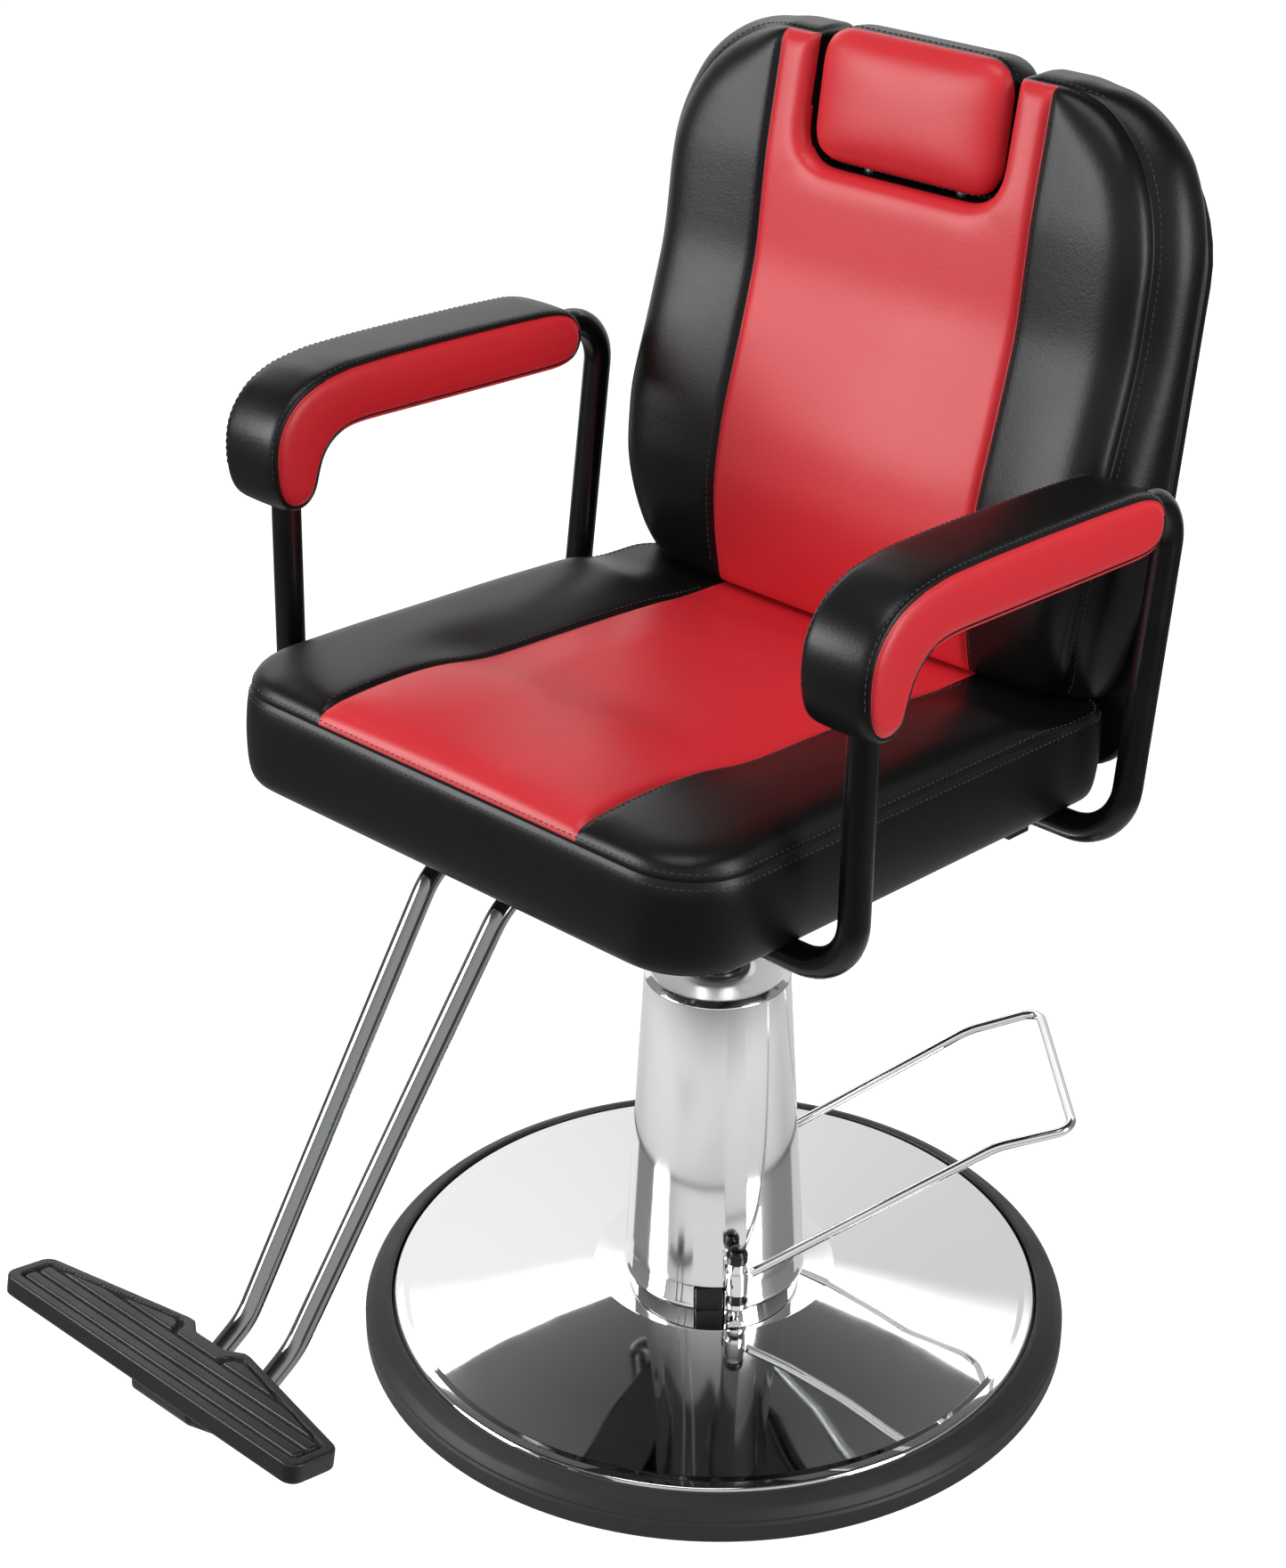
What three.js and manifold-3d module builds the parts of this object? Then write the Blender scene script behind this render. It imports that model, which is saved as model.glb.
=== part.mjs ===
// A hydraulic barber chair. Millimetres, +Z up, the sitter faces -Y, and the origin is on the floor
// under the middle of the column. Left and right are the sitter's: left is +X.
import * as THREE from 'three';
import { mergeVertices } from 'three/addons/utils/BufferGeometryUtils.js';
import Module from 'manifold-3d';

const wasm = await Module();
wasm.setup();

// ---------------------------------------------------------------- driving dimensions

const SEATED_GAP = 0.3; // between pieces that rest on each other
const RUNNING_GAP = 0.6; // round a shaft that turns or slides

// Foot
const FOOT_RADIUS = 295;
const RING_WIDTH = 23;
const RING_HEIGHT = 33;
const RING_WALL_HEIGHT = 18;
const BALLAST_THICKNESS = 8;
const DOME_SHEET = 2.5;
const SHOULDER_RADIUS = 104;
const SHOULDER_HEIGHT = 53;
const NECK_RADIUS = 62.5;
const NECK_HEIGHT = 74;

// Column
const COVER_BOTTOM_RADIUS = 74.3;
const COVER_TOP_RADIUS = 59.5;
const COVER_BOTTOM_HEIGHT = 76;
const COVER_TOP_HEIGHT = 339.5;
const COVER_CHAMFER = 5;
const COVER_SHEET = 2;
const RAM_RADIUS = 19.5;
const CYLINDER_WALL = 5;
const CYLINDER_CLEARANCE = 4.5; // between the ram and the cylinder, filled by the piston
const RESERVOIR_RADIUS = 48;
const RESERVOIR_WALL = 4;
const PUMP_BODY_RADIUS = 52;
const PUMP_BODY_HEIGHT = 108;
const PUMP_FLANGE_RADIUS = 85;
const PUMP_FLANGE_THICKNESS = 12;
const GLAND_HEIGHT = 14;
const PISTON_HEIGHT = 12;
const LIFT_DOWN = 85; // travel of the seat below the height in the photograph
const LIFT_UP = 65;

// Pedal: its own axes are "out", away from the column, and "across", along the pivot
const PEDAL_HEADING = 45.4; // degrees from +X towards +Y
const PEDAL_PIVOT_OUT = 13;
const PEDAL_PIVOT_HEIGHT = 90;
const PEDAL_SHAFT_RADIUS = 7;
const PEDAL_ROD_RADIUS = 4;
const PEDAL_RISE = 31.6; // degrees
const PEDAL_TIP_RISE = 15.1;
const PEDAL_PRESS = 24;
const PEDAL_ROD_LENGTH = 229;
const PEDAL_TIP_LENGTH = 63;
const PEDAL_ROOT_HALF = 83.5;
const PEDAL_KNEE_HALF = 87;
const PEDAL_TIP_HALF = 89;
const PEDAL_BEND = 14;
const LUG_RADIUS = 9.5;
const LUG_BELOW = 26;
const LUG_ABOVE = 33;
const FINGER_REACH = 27;
const FINGER_HALF_HEIGHT = 5;
const FINGER_HALF_WIDTH = 5;
const PLUNGER_OUT = 34;
const PLUNGER_RADIUS = 5;
const PLUNGER_LENGTH = 54;
const PLUNGER_TRAVEL = 12.2;
const SPRING_LENGTH = 28;
const VALVE_BLOCK = { from: -20, to: 3, bottom: 54.3, top: 75.3, reach: 74 };

// Seat
const SEAT_TILT = 3.6; // degrees, front edge up
const TILT_HEIGHT = 530; // where the tilted unit crosses the axis of the column
const SEAT_HALF_WIDTH = 240;
const SEAT_FRONT = -301;
const SEAT_REAR = 177;
const SEAT_CORNER = 54;
const SEAT_UNDERSIDE = 526.5;
const SEAT_SEAM_HEIGHT = 600;
// Rise of the top above the edge seam, along the middle of the seat: [y, rise]
const SEAT_ROLL = [[-301, 0], [-272, 16], [-220, 22], [-160, 18], [-112, 12], [-55, 10], [30, 8], [130, 0]];
const SEAT_BOARD_THICKNESS = 11;
const SEAT_BOARD_INSET = 9;
const SEAT_PANEL_HALF = 130; // half of the red middle panel
const SEAM_DEPTH = 4;
const SEAM_HALF_WIDTH = 9;
const SIDE_BULGE = 4;

// Under the seat
const SEAT_PLATE_HALF = 100;
const SEAT_PLATE_THICKNESS = 6;
const RAIL_CENTRE = 140;
const RAIL_THICKNESS = 6;
const RAIL_HEIGHT = 40;
const RAIL_FRONT = -195;
const RAIL_REAR = 216;
const HUB_RADIUS = 32;
const HUB_BOTTOM = 430;
const HUB_FLANGE_RADIUS = 62;
const HUB_FLANGE_THICKNESS = 8;
const BOLT_RADIUS = 8;
const BOLT_HEAD = 6;

// Arms
const ARM_TUBE_RADIUS = 11.5;
const ARM_CENTRE = 287;
const ARM_FRONT_TOP = -198;
const ARM_FRONT_BOTTOM = -187;
const ARM_REAR_TOP = 152;
const ARM_REAR_BOTTOM = 131;
const ARM_TUBE_HEIGHT = 791;
const ARM_TOP_BEND = 37;
const ARM_SEAT_BEND = 45;
const PAD_WIDTH = 64.5;
const PAD_TOP = 817.5;
const PAD_BOTTOM = 765;
const PAD_FRONT = -230;
const PAD_REAR = 102;
const PAD_LOBE_BOTTOM = 706;
const PAD_LOBE_REAR = -179;
const PAD_ROUND = 8;

// Footrest
const FOOT_TUBE_RADIUS = 8.2;
const FOOT_TUBE_TOP_HALF = 37;
const FOOT_TUBE_LOW_HALF = 26;
const FOOT_TUBE_START = -108;
const FOOT_TUBE_TOP_KNEE = -266.5;
const FOOT_TUBE_LOW_KNEE = -461;
const FOOT_TUBE_LOW_HEIGHT = 213.7;
const FOOT_TUBE_TOE_KNEE = -501;
const FOOT_TUBE_END = -527;
const FOOT_TUBE_END_HEIGHT = 187.5;
const FOOT_TUBE_BEND = 55;
const FOOTPLATE_HALF_WIDTH = 157;
const FOOTPLATE_FRONT = -577;
const FOOTPLATE_END_REAR = -535;
const FOOTPLATE_HUB_REAR = -506;
const FOOTPLATE_HUB_HALF = 31;
const FOOTPLATE_TOP = 234;
const FOOTPLATE_THICKNESS = 14;
const FOOTPLATE_TILT = 7.9; // degrees, front edge up
const FOOTPLATE_BOSS_HALF = 39;
const FOOTPLATE_BOSS_FRONT = -556;
const FOOTPLATE_BOSS_LIP = 204; // height of the bottom of the boss at its front
const RIB_GAP_WIDTH = 4;
const RIB_GAP_DEPTH = 1.6;
const RIB_GAPS = 4;
const CLAMP_HALF_WIDTH = 62;
const CLAMP_THICKNESS = 4;
const CLAMP_FRONT = -190;
const CLAMP_REAR = -150;

// Back: its own axes are "up", along the tilted board, and "forward", square to it
const BACK_TILT = 4.92; // degrees from upright
const BACK_FOOT = { y: 132, z: SEAT_SEAM_HEIGHT }; // where the front of the back meets the seat
const BACK_HALF_WIDTH = 254;
const BACK_HEIGHT = 456;
const BACK_THICKNESS = 70;
const BACK_TOP_CORNER = { across: 126, up: 126 };
const BACK_FOOT_CORNER = 45;
const BACK_SHELL_THICKNESS = 12;
const BACK_SHELL_INSET = 4;
const BACK_SHELL_BOTTOM = SEAT_UNDERSIDE + 10.5; // the lip that hangs behind the seat
const BACK_PANEL_HALF = 129; // half of the red middle panel
const BACK_EDGE_ROUND = 12;
const BACK_SEAT_GAP = 2;
// Swell of the front along the board: [up, forward]
const BACK_SWELL = [[0, -4], [45, 12], [95, 19], [147, 18], [215, 7], [274, -1], [360, 1], [BACK_HEIGHT, -4]];

// Headrest
const NOTCH_HALF_WIDTH = 96;
const NOTCH_DEPTH = 99;
const NOTCH_BOTTOM = BACK_HEIGHT - NOTCH_DEPTH;
const NOTCH_CORNER = 30;
const HEADREST_GAP = 5;
const HEADREST_PROUD = 10; // above the top of the back
const HEADREST_TOP = BACK_HEIGHT + HEADREST_PROUD;
const HEADREST_BEHIND = 50;
const HEADREST_CORNER = 26;
const HEADREST_CROWN = 12;
const HEADREST_RISE = 80;
const POST_RADIUS = 5;
const POST_SPACING = 90;
const POST_BEHIND = 30;
const POST_BELOW = 160;
const POST_INSIDE = 60;
const SOCKET_WALL = 2;

// Recline
const RECLINE_DROP = 20.5; // below the seat's underside
const RECLINE_PIVOT = { y: 200, z: SEAT_UNDERSIDE - RECLINE_DROP };
const RECLINE_ANGLE = 40;
const PIN_RADIUS = 6;
const HINGE_ARM_THICKNESS = 6;
const HINGE_ARM_EYE = { half: 13, below: 12 }; // round the crossbar
const HINGE_ARM_HIP = { half: 15, above: 10 }; // round the pivot
const HINGE_ARM_LIP = 14; // behind the back
const HINGE_ARM_FOOT = 4; // below the shell's lip
const HINGE_ARM_REACH = 90; // above the shell's lip
const HINGE_FLANGE_WIDTH = 32;
const HINGE_FLANGE_THICKNESS = 3;
const CROSSBAR_DROP = 45; // below the pivot
const CROSSBAR_RADIUS = 6;
const STRUT_X = -95;
const STRUT_DROP = 50.5; // below the seat's underside
const STRUT_ANCHOR = { y: -60, z: SEAT_UNDERSIDE - STRUT_DROP };
const STRUT_RADIUS = 11;
const STRUT_ROD_RADIUS = 5;
const STRUT_BODY_LENGTH = 160;
const STRUT_ROD_INSIDE = 90;
const STRUT_EYE_WALL = 3.5;
const STRUT_EYE_WIDTH = 12;
const STRUT_EAR_HALF = 12;
const STRUT_OPEN_CLEARANCE = 3.5;
const LEVER_DROP = 23.5; // below the seat's underside
const LEVER_PIVOT = { y: 0, z: SEAT_UNDERSIDE - LEVER_DROP };
const LEVER_RADIUS = 5;
const LEVER_OUT = 258;
const LEVER_LENGTH = 110;
const GRIP_RADIUS = 8;
const GRIP_LENGTH = 62;

// ---------------------------------------------------------------- values worked out from them

const CHROME_RADIUS = FOOT_RADIUS - RING_WIDTH;
const CYLINDER_BORE = RAM_RADIUS + CYLINDER_CLEARANCE;
const CYLINDER_TOP = COVER_TOP_HEIGHT - COVER_SHEET - SEATED_GAP - GLAND_HEIGHT - SEATED_GAP;
const RAM_TOP = SEAT_UNDERSIDE - SEAT_PLATE_THICKNESS - HUB_FLANGE_THICKNESS - 1;
const RAM_FOOT = PUMP_BODY_HEIGHT + LIFT_DOWN + PISTON_HEIGHT + 2 * SEATED_GAP + 1;
const FRAME_TOP = SEAT_UNDERSIDE - SEATED_GAP; // top of the steel under the seat board
const ARM_TUBE_LOW = FRAME_TOP - ARM_TUBE_RADIUS;
const FOOT_TUBE_HIGH = FRAME_TOP - FOOT_TUBE_RADIUS;
const RAIL_INNER = RAIL_CENTRE - RAIL_THICKNESS / 2;
const RAIL_OUTER = RAIL_CENTRE + RAIL_THICKNESS / 2;
const RAIL_BOTTOM = FRAME_TOP - RAIL_HEIGHT;
const SIDES = [{ name: 'left', sign: 1 }, { name: 'right', sign: -1 }];
const DEGREE = Math.PI / 180;

// ---------------------------------------------------------------- materials

const finish = (color, roughness, metalness) => new THREE.MeshStandardMaterial({
  color, roughness, metalness,
});
const CHROME = finish('#d9dcde', 0.08, 1);
const STEEL = finish('#9aa0a4', 0.35, 1);
const BLACK_PAINT = finish('#121314', 0.3, 0.2);
const CAST_IRON = finish('#33363a', 0.65, 0.6);
const RUBBER = finish('#3a3b3c', 0.8, 0);
const BLACK_PLASTIC = finish('#1d1e1f', 0.55, 0);
const RED_VINYL = finish('#c8303a', 0.42, 0);
const BLACK_VINYL = finish('#17181a', 0.4, 0);
const PLYWOOD = finish('#b98f5e', 0.7, 0);

// ---------------------------------------------------------------- making and cutting closed bodies

// Shares a mesh's corners, drops faces with no area and turns the faces outwards.
function closed(geometry) {
  geometry.deleteAttribute('normal');
  geometry.deleteAttribute('uv');
  const merged = mergeVertices(geometry, 1e-4);
  const corners = merged.getIndex().array;
  const position = merged.getAttribute('position');
  const [a, b, c] = [new THREE.Vector3(), new THREE.Vector3(), new THREE.Vector3()];
  const faces = [];
  let volume = 0;
  for (let i = 0; i < corners.length; i += 3) {
    const [p, q, r] = corners.slice(i, i + 3);
    if (p === q || q === r || r === p) continue;
    faces.push([p, q, r]);
    a.fromBufferAttribute(position, p);
    b.fromBufferAttribute(position, q);
    c.fromBufferAttribute(position, r);
    volume += a.dot(b.cross(c));
  }
  merged.setIndex(faces.flatMap(([p, q, r]) => (volume > 0 ? [p, q, r] : [r, q, p])));
  return merged;
}

function solid(geometry) {
  const mesh = closed(geometry);
  return new wasm.Manifold(new wasm.Mesh({
    numProp: 3,
    vertProperties: new Float32Array(mesh.getAttribute('position').array),
    triVerts: new Uint32Array(mesh.getIndex().array),
  }));
}

function meshOf(body) {
  const { vertProperties, triVerts, numProp } = body.getMesh();
  const geometry = new THREE.BufferGeometry();
  const position = new Float32Array((vertProperties.length / numProp) * 3);
  for (let i = 0; i < position.length / 3; i += 1) {
    position.set(vertProperties.subarray(i * numProp, i * numProp + 3), i * 3);
  }
  geometry.setAttribute('position', new THREE.BufferAttribute(position, 3));
  geometry.setIndex(new THREE.BufferAttribute(new Uint32Array(triVerts), 1));
  return geometry;
}

const join = (...shapes) => meshOf(shapes.map(solid).reduce((whole, next) => whole.add(next)));
const cut = (shape, ...tools) => meshOf(
  tools.map(solid).reduce((whole, tool) => whole.subtract(tool), solid(shape)),
);

// ---------------------------------------------------------------- basic shapes

const box = (x, y, z) => new THREE.BoxGeometry(x[1] - x[0], y[1] - y[0], z[1] - z[0])
  .translate((x[0] + x[1]) / 2, (y[0] + y[1]) / 2, (z[0] + z[1]) / 2);

// A profile of [radius, height] points turned about the Z axis.
const turned = (profile, segments = 36) => new THREE.LatheGeometry(
  profile.map(([radius, height]) => new THREE.Vector2(radius, height)),
  segments,
).rotateX(Math.PI / 2);

const ring = (inner, outer, bottom, top, segments = 36) => turned(
  [[inner, bottom], [outer, bottom], [outer, top], [inner, top], [inner, bottom]],
  segments,
);

const rod = (radius, length, segments) => new THREE.CylinderGeometry(radius, radius, length, segments);

const upright = (radius, bottom, top, segments = 16) => rod(radius, top - bottom, segments)
  .rotateX(Math.PI / 2).translate(0, 0, (top + bottom) / 2);

const crosswise = (radius, from, to, y, z, segments = 16) => rod(radius, to - from, segments)
  .rotateZ(Math.PI / 2).translate((from + to) / 2, y, z);

// An outline of [y, z] points, given a thickness from one x to another.
function profiled(outline, from, to) {
  const shape = new THREE.Shape(outline.map(([y, z]) => new THREE.Vector2(y, z)));
  return new THREE.ExtrudeGeometry(shape, { depth: to - from, bevelEnabled: false })
    .rotateX(Math.PI / 2).rotateZ(Math.PI / 2).translate(from, 0, 0);
}

// Points round an arc, both ends included.
function arc(x, y, radius, startDegrees, endDegrees, steps) {
  return Array.from({ length: steps + 1 }, (_, i) => {
    const angle = (startDegrees + ((endDegrees - startDegrees) * i) / steps) * DEGREE;
    return [x + radius * Math.cos(angle), y + radius * Math.sin(angle)];
  });
}

// A route that is walked station by station, so that straight stretches get few rings and bends get many.
class StationRoute extends THREE.Curve {
  constructor(stations) {
    super();
    this.stations = stations;
  }

  getPoint(t, target = new THREE.Vector3()) {
    const place = THREE.MathUtils.clamp(t, 0, 1) * (this.stations.length - 1);
    const index = Math.min(Math.floor(place), this.stations.length - 2);
    return target.lerpVectors(this.stations[index], this.stations[index + 1], place - index);
  }

  getPointAt(u, target) {
    return this.getPoint(u, target);
  }

  getTangentAt(u, target = new THREE.Vector3()) {
    const index = Math.round(u * (this.stations.length - 1));
    const before = this.stations[Math.max(index - 1, 0)];
    const here = this.stations[index];
    const after = this.stations[Math.min(index + 1, this.stations.length - 1)];
    const arriving = here.clone().sub(before).normalize();
    const leaving = after.clone().sub(here).normalize();
    return target.copy(arriving).add(leaving).normalize();
  }
}

// Stations along straight runs between corners, with each inner corner rounded to an arc.
function rounded(corners, bends, steps) {
  const stations = [corners[0]];
  for (let i = 1; i < corners.length - 1; i += 1) {
    const back = corners[i - 1].clone().sub(corners[i]).normalize();
    const ahead = corners[i + 1].clone().sub(corners[i]).normalize();
    const half = back.angleTo(ahead) / 2;
    const reach = bends[i - 1] / Math.tan(half);
    const inward = back.clone().add(ahead).normalize();
    const centre = corners[i].clone().addScaledVector(inward, bends[i - 1] / Math.sin(half));
    const from = corners[i].clone().addScaledVector(back, reach).sub(centre);
    const to = corners[i].clone().addScaledVector(ahead, reach).sub(centre);
    const sweep = from.angleTo(to);
    for (let step = 0; step <= steps; step += 1) {
      const share = (sweep * step) / steps;
      stations.push(from.clone().multiplyScalar(Math.sin(sweep - share) / Math.sin(sweep))
        .addScaledVector(to, Math.sin(share) / Math.sin(sweep)).add(centre));
    }
  }
  stations.push(corners[corners.length - 1]);
  return stations;
}

// A round bar along stations.
function bar(stations, radius, sides) {
  const section = new THREE.Shape(arc(0, 0, radius, 0, 360 - 360 / sides, sides - 1)
    .map(([x, y]) => new THREE.Vector2(x, y)));
  return new THREE.ExtrudeGeometry(section, {
    steps: stations.length - 1,
    bevelEnabled: false,
    extrudePath: new StationRoute(stations),
  });
}

// A box of 2 x 2 x 2 whose corners are each moved to where place(u, v, w) says.
function formed([across, along, through], place) {
  const geometry = closed(new THREE.BoxGeometry(2, 2, 2, across, along, through));
  const position = geometry.getAttribute('position');
  for (let i = 0; i < position.count; i += 1) {
    const point = place(position.getX(i), position.getY(i), position.getZ(i));
    position.setXYZ(i, ...point);
  }
  return geometry;
}

// Moves the square corner of a rectangle onto a quarter ellipse.
function roundCorner(x, y, halfWidth, halfHeight, across, up) {
  const dx = (Math.abs(x) - (halfWidth - across)) / across;
  const dy = (Math.abs(y) - (halfHeight - up)) / up;
  if (dx <= 0 || dy <= 0) return [x, y];
  const shrink = Math.max(dx, dy) / Math.hypot(dx, dy);
  return [
    Math.sign(x) * (halfWidth - across + dx * shrink * across),
    Math.sign(y) * (halfHeight - up + dy * shrink * up),
  ];
}

// Reads a value off a list of [place, value] knots.
function along(knots, place) {
  const last = knots.length - 1;
  if (place <= knots[0][0]) return knots[0][1];
  for (let i = 1; i <= last; i += 1) {
    if (place <= knots[i][0]) {
      const share = (place - knots[i - 1][0]) / (knots[i][0] - knots[i - 1][0]);
      return THREE.MathUtils.lerp(knots[i - 1][1], knots[i][1], share);
    }
  }
  return knots[last][1];
}

// Spreads the columns of a cushion so that three of them follow the seam of its middle panel.
const seamedColumn = (u, seam, half) => Math.sign(u) * along([
  [0, 0], [0.4, seam - SEAM_HALF_WIDTH], [0.5, seam], [0.6, seam + SEAM_HALF_WIDTH], [1, half],
], Math.abs(u));

const seamGroove = (u) => SEAM_DEPTH * Math.max(0, 1 - Math.abs(Math.abs(u) - 0.5) / 0.1);

// The stand is upright. The seat unit, drawn level, leans back on top of it.
const chair = new THREE.Group();
const stand = new THREE.Group();
const seatUnit = new THREE.Group();
seatUnit.rotation.x = -SEAT_TILT * DEGREE;
const pivot = new THREE.Vector3(0, 0, TILT_HEIGHT);
seatUnit.position.copy(pivot).sub(pivot.clone().applyEuler(seatUnit.rotation));
seatUnit.updateMatrix();
chair.add(stand, seatUnit);

function piece(group, name, geometry, material) {
  const mesh = new THREE.Mesh(closed(geometry), material);
  mesh.name = name;
  group.add(mesh);
}

// ---------------------------------------------------------------- foot

const domeOutside = [
  [NECK_RADIUS, NECK_HEIGHT],
  [NECK_RADIUS, SHOULDER_HEIGHT + 5],
  [NECK_RADIUS + 3, SHOULDER_HEIGHT + 1.5],
  [NECK_RADIUS + 10, SHOULDER_HEIGHT],
  [SHOULDER_RADIUS, SHOULDER_HEIGHT],
  [
    THREE.MathUtils.lerp(SHOULDER_RADIUS, CHROME_RADIUS, 0.5),
    THREE.MathUtils.lerp(SHOULDER_HEIGHT, RING_HEIGHT, 0.46),
  ],
  [CHROME_RADIUS - 4, RING_HEIGHT + 0.5],
  [CHROME_RADIUS, RING_HEIGHT - 2],
  [CHROME_RADIUS, BALLAST_THICKNESS + SEATED_GAP],
];

function foot() {
  const domeInside = domeOutside.map(([radius, height], i) => [
    radius - (i < 4 || i > 5 ? DOME_SHEET : 0),
    i === domeOutside.length - 1 || i === 0 ? height : height - (i < 3 ? 0 : DOME_SHEET),
  ]).reverse();
  const dome = turned([...domeOutside, ...domeInside, domeOutside[0]], 48);
  const valveNotch = onPedalAxes(box(
    [VALVE_BLOCK.from - 1, VALVE_BLOCK.to + 1],
    [PUMP_BODY_RADIUS - 12, NECK_RADIUS + 5],
    [SHOULDER_HEIGHT + 1, NECK_HEIGHT + 1],
  ));
  piece(stand, 'base_dome', cut(dome, valveNotch), CHROME);
  piece(stand, 'base_ballast_plate', turned([
    [0, 0], [CHROME_RADIUS - 1, 0], [CHROME_RADIUS - 1, BALLAST_THICKNESS], [0, BALLAST_THICKNESS],
  ], 48), CAST_IRON);
  const inner = CHROME_RADIUS + 0.5;
  piece(stand, 'base_rubber_ring', turned([
    [inner, 0], [FOOT_RADIUS - 2, 0], [FOOT_RADIUS, 2], [FOOT_RADIUS, RING_WALL_HEIGHT],
    [FOOT_RADIUS - 3, RING_WALL_HEIGHT + 4], [inner + 2, RING_HEIGHT], [inner, RING_HEIGHT], [inner, 0],
  ], 48), RUBBER);
}

// ---------------------------------------------------------------- pump and column

// Turns a shape drawn with X = out and -Y = across (towards the front) onto the pedal's heading.
function onPedalAxes(geometry) {
  return geometry.scale(1, -1, 1).rotateZ(PEDAL_HEADING * DEGREE);
}

function pump() {
  const base = BALLAST_THICKNESS + SEATED_GAP;
  const casting = turned([
    [0, base], [PUMP_FLANGE_RADIUS, base], [PUMP_FLANGE_RADIUS, base + PUMP_FLANGE_THICKNESS],
    [PUMP_BODY_RADIUS, base + PUMP_FLANGE_THICKNESS + 6], [PUMP_BODY_RADIUS, PUMP_BODY_HEIGHT],
    [0, PUMP_BODY_HEIGHT],
  ]);
  const shaftBore = new THREE.CylinderGeometry(1, 1, 2 * PUMP_FLANGE_RADIUS, 16)
    .scale(PEDAL_SHAFT_RADIUS + RUNNING_GAP, 1, PEDAL_SHAFT_RADIUS + RUNNING_GAP)
    .translate(PEDAL_PIVOT_OUT, 0, PEDAL_PIVOT_HEIGHT);
  const springSeat = PEDAL_PIVOT_HEIGHT - FINGER_HALF_HEIGHT - 2 - SPRING_LENGTH;
  const pocket = box(
    [PEDAL_PIVOT_OUT - PEDAL_SHAFT_RADIUS - 3, PUMP_BODY_RADIUS + 3],
    [-PLUNGER_RADIUS - 6, PLUNGER_RADIUS + 6],
    [springSeat, PUMP_BODY_HEIGHT + 2],
  );
  const plungerTop = PEDAL_PIVOT_HEIGHT - FINGER_HALF_HEIGHT - SEATED_GAP;
  const plungerBottom = plungerTop - PLUNGER_LENGTH;
  const plungerBore = upright(PLUNGER_RADIUS + RUNNING_GAP, plungerBottom - PLUNGER_TRAVEL - 2,
    springSeat + 5, 12).translate(PLUNGER_OUT, 0, 0);
  piece(stand, 'pump_body', cut(casting, ...[shaftBore, pocket, plungerBore].map(onPedalAxes)), CAST_IRON);
  piece(stand, 'pump_plunger', onPedalAxes(upright(PLUNGER_RADIUS, plungerBottom, plungerTop, 12)
    .translate(PLUNGER_OUT, 0, 0)), STEEL);
  piece(stand, 'plunger_spring', onPedalAxes(ring(PLUNGER_RADIUS + RUNNING_GAP, PLUNGER_RADIUS + 3.5,
    springSeat + SEATED_GAP, plungerTop - 1, 12).translate(PLUNGER_OUT, 0, 0)), STEEL);

  const cylinderFoot = PUMP_BODY_HEIGHT + SEATED_GAP;
  piece(stand, 'pump_cylinder', ring(CYLINDER_BORE, CYLINDER_BORE + CYLINDER_WALL, cylinderFoot,
    CYLINDER_TOP, 24), STEEL);
  piece(stand, 'reservoir_tube', ring(RESERVOIR_RADIUS - RESERVOIR_WALL, RESERVOIR_RADIUS, cylinderFoot,
    CYLINDER_TOP, 24), STEEL);
  piece(stand, 'pump_gland', ring(RAM_RADIUS + RUNNING_GAP, RESERVOIR_RADIUS, CYLINDER_TOP + SEATED_GAP,
    CYLINDER_TOP + SEATED_GAP + GLAND_HEIGHT, 24), STEEL);

  piece(stand, 'pump_valve_block', onPedalAxes(box(
    [VALVE_BLOCK.from, VALVE_BLOCK.to],
    [PUMP_BODY_RADIUS + SEATED_GAP, VALVE_BLOCK.reach],
    [VALVE_BLOCK.bottom, VALVE_BLOCK.top],
  )), BLACK_PAINT);
}

function columnCover() {
  const [low, high, sheet] = [COVER_BOTTOM_HEIGHT, COVER_TOP_HEIGHT, COVER_SHEET];
  const hole = RAM_RADIUS + 2;
  const shroud = turned([
    [COVER_BOTTOM_RADIUS, low], [COVER_TOP_RADIUS, high - COVER_CHAMFER],
    [COVER_TOP_RADIUS - COVER_CHAMFER, high], [hole, high], [hole, high - sheet],
    [COVER_TOP_RADIUS - COVER_CHAMFER - sheet, high - sheet],
    [COVER_TOP_RADIUS - sheet, high - COVER_CHAMFER - sheet], [COVER_BOTTOM_RADIUS - sheet, low],
    [COVER_BOTTOM_RADIUS, low],
  ], 48);
  const slotHalf = PEDAL_SHAFT_RADIUS + 2;
  const slots = box(
    [PEDAL_PIVOT_OUT - slotHalf, PEDAL_PIVOT_OUT + slotHalf],
    [-COVER_BOTTOM_RADIUS - 5, COVER_BOTTOM_RADIUS + 5],
    [low - 2, PEDAL_PIVOT_HEIGHT + slotHalf],
  );
  piece(stand, 'column_cover', cut(shroud, onPedalAxes(slots)), CHROME);
  piece(stand, 'ram_wiper', ring(RAM_RADIUS + RUNNING_GAP, hole + 5, high + SEATED_GAP,
    high + SEATED_GAP + 3, 24), RUBBER);
}

// ---------------------------------------------------------------- pedal

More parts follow.
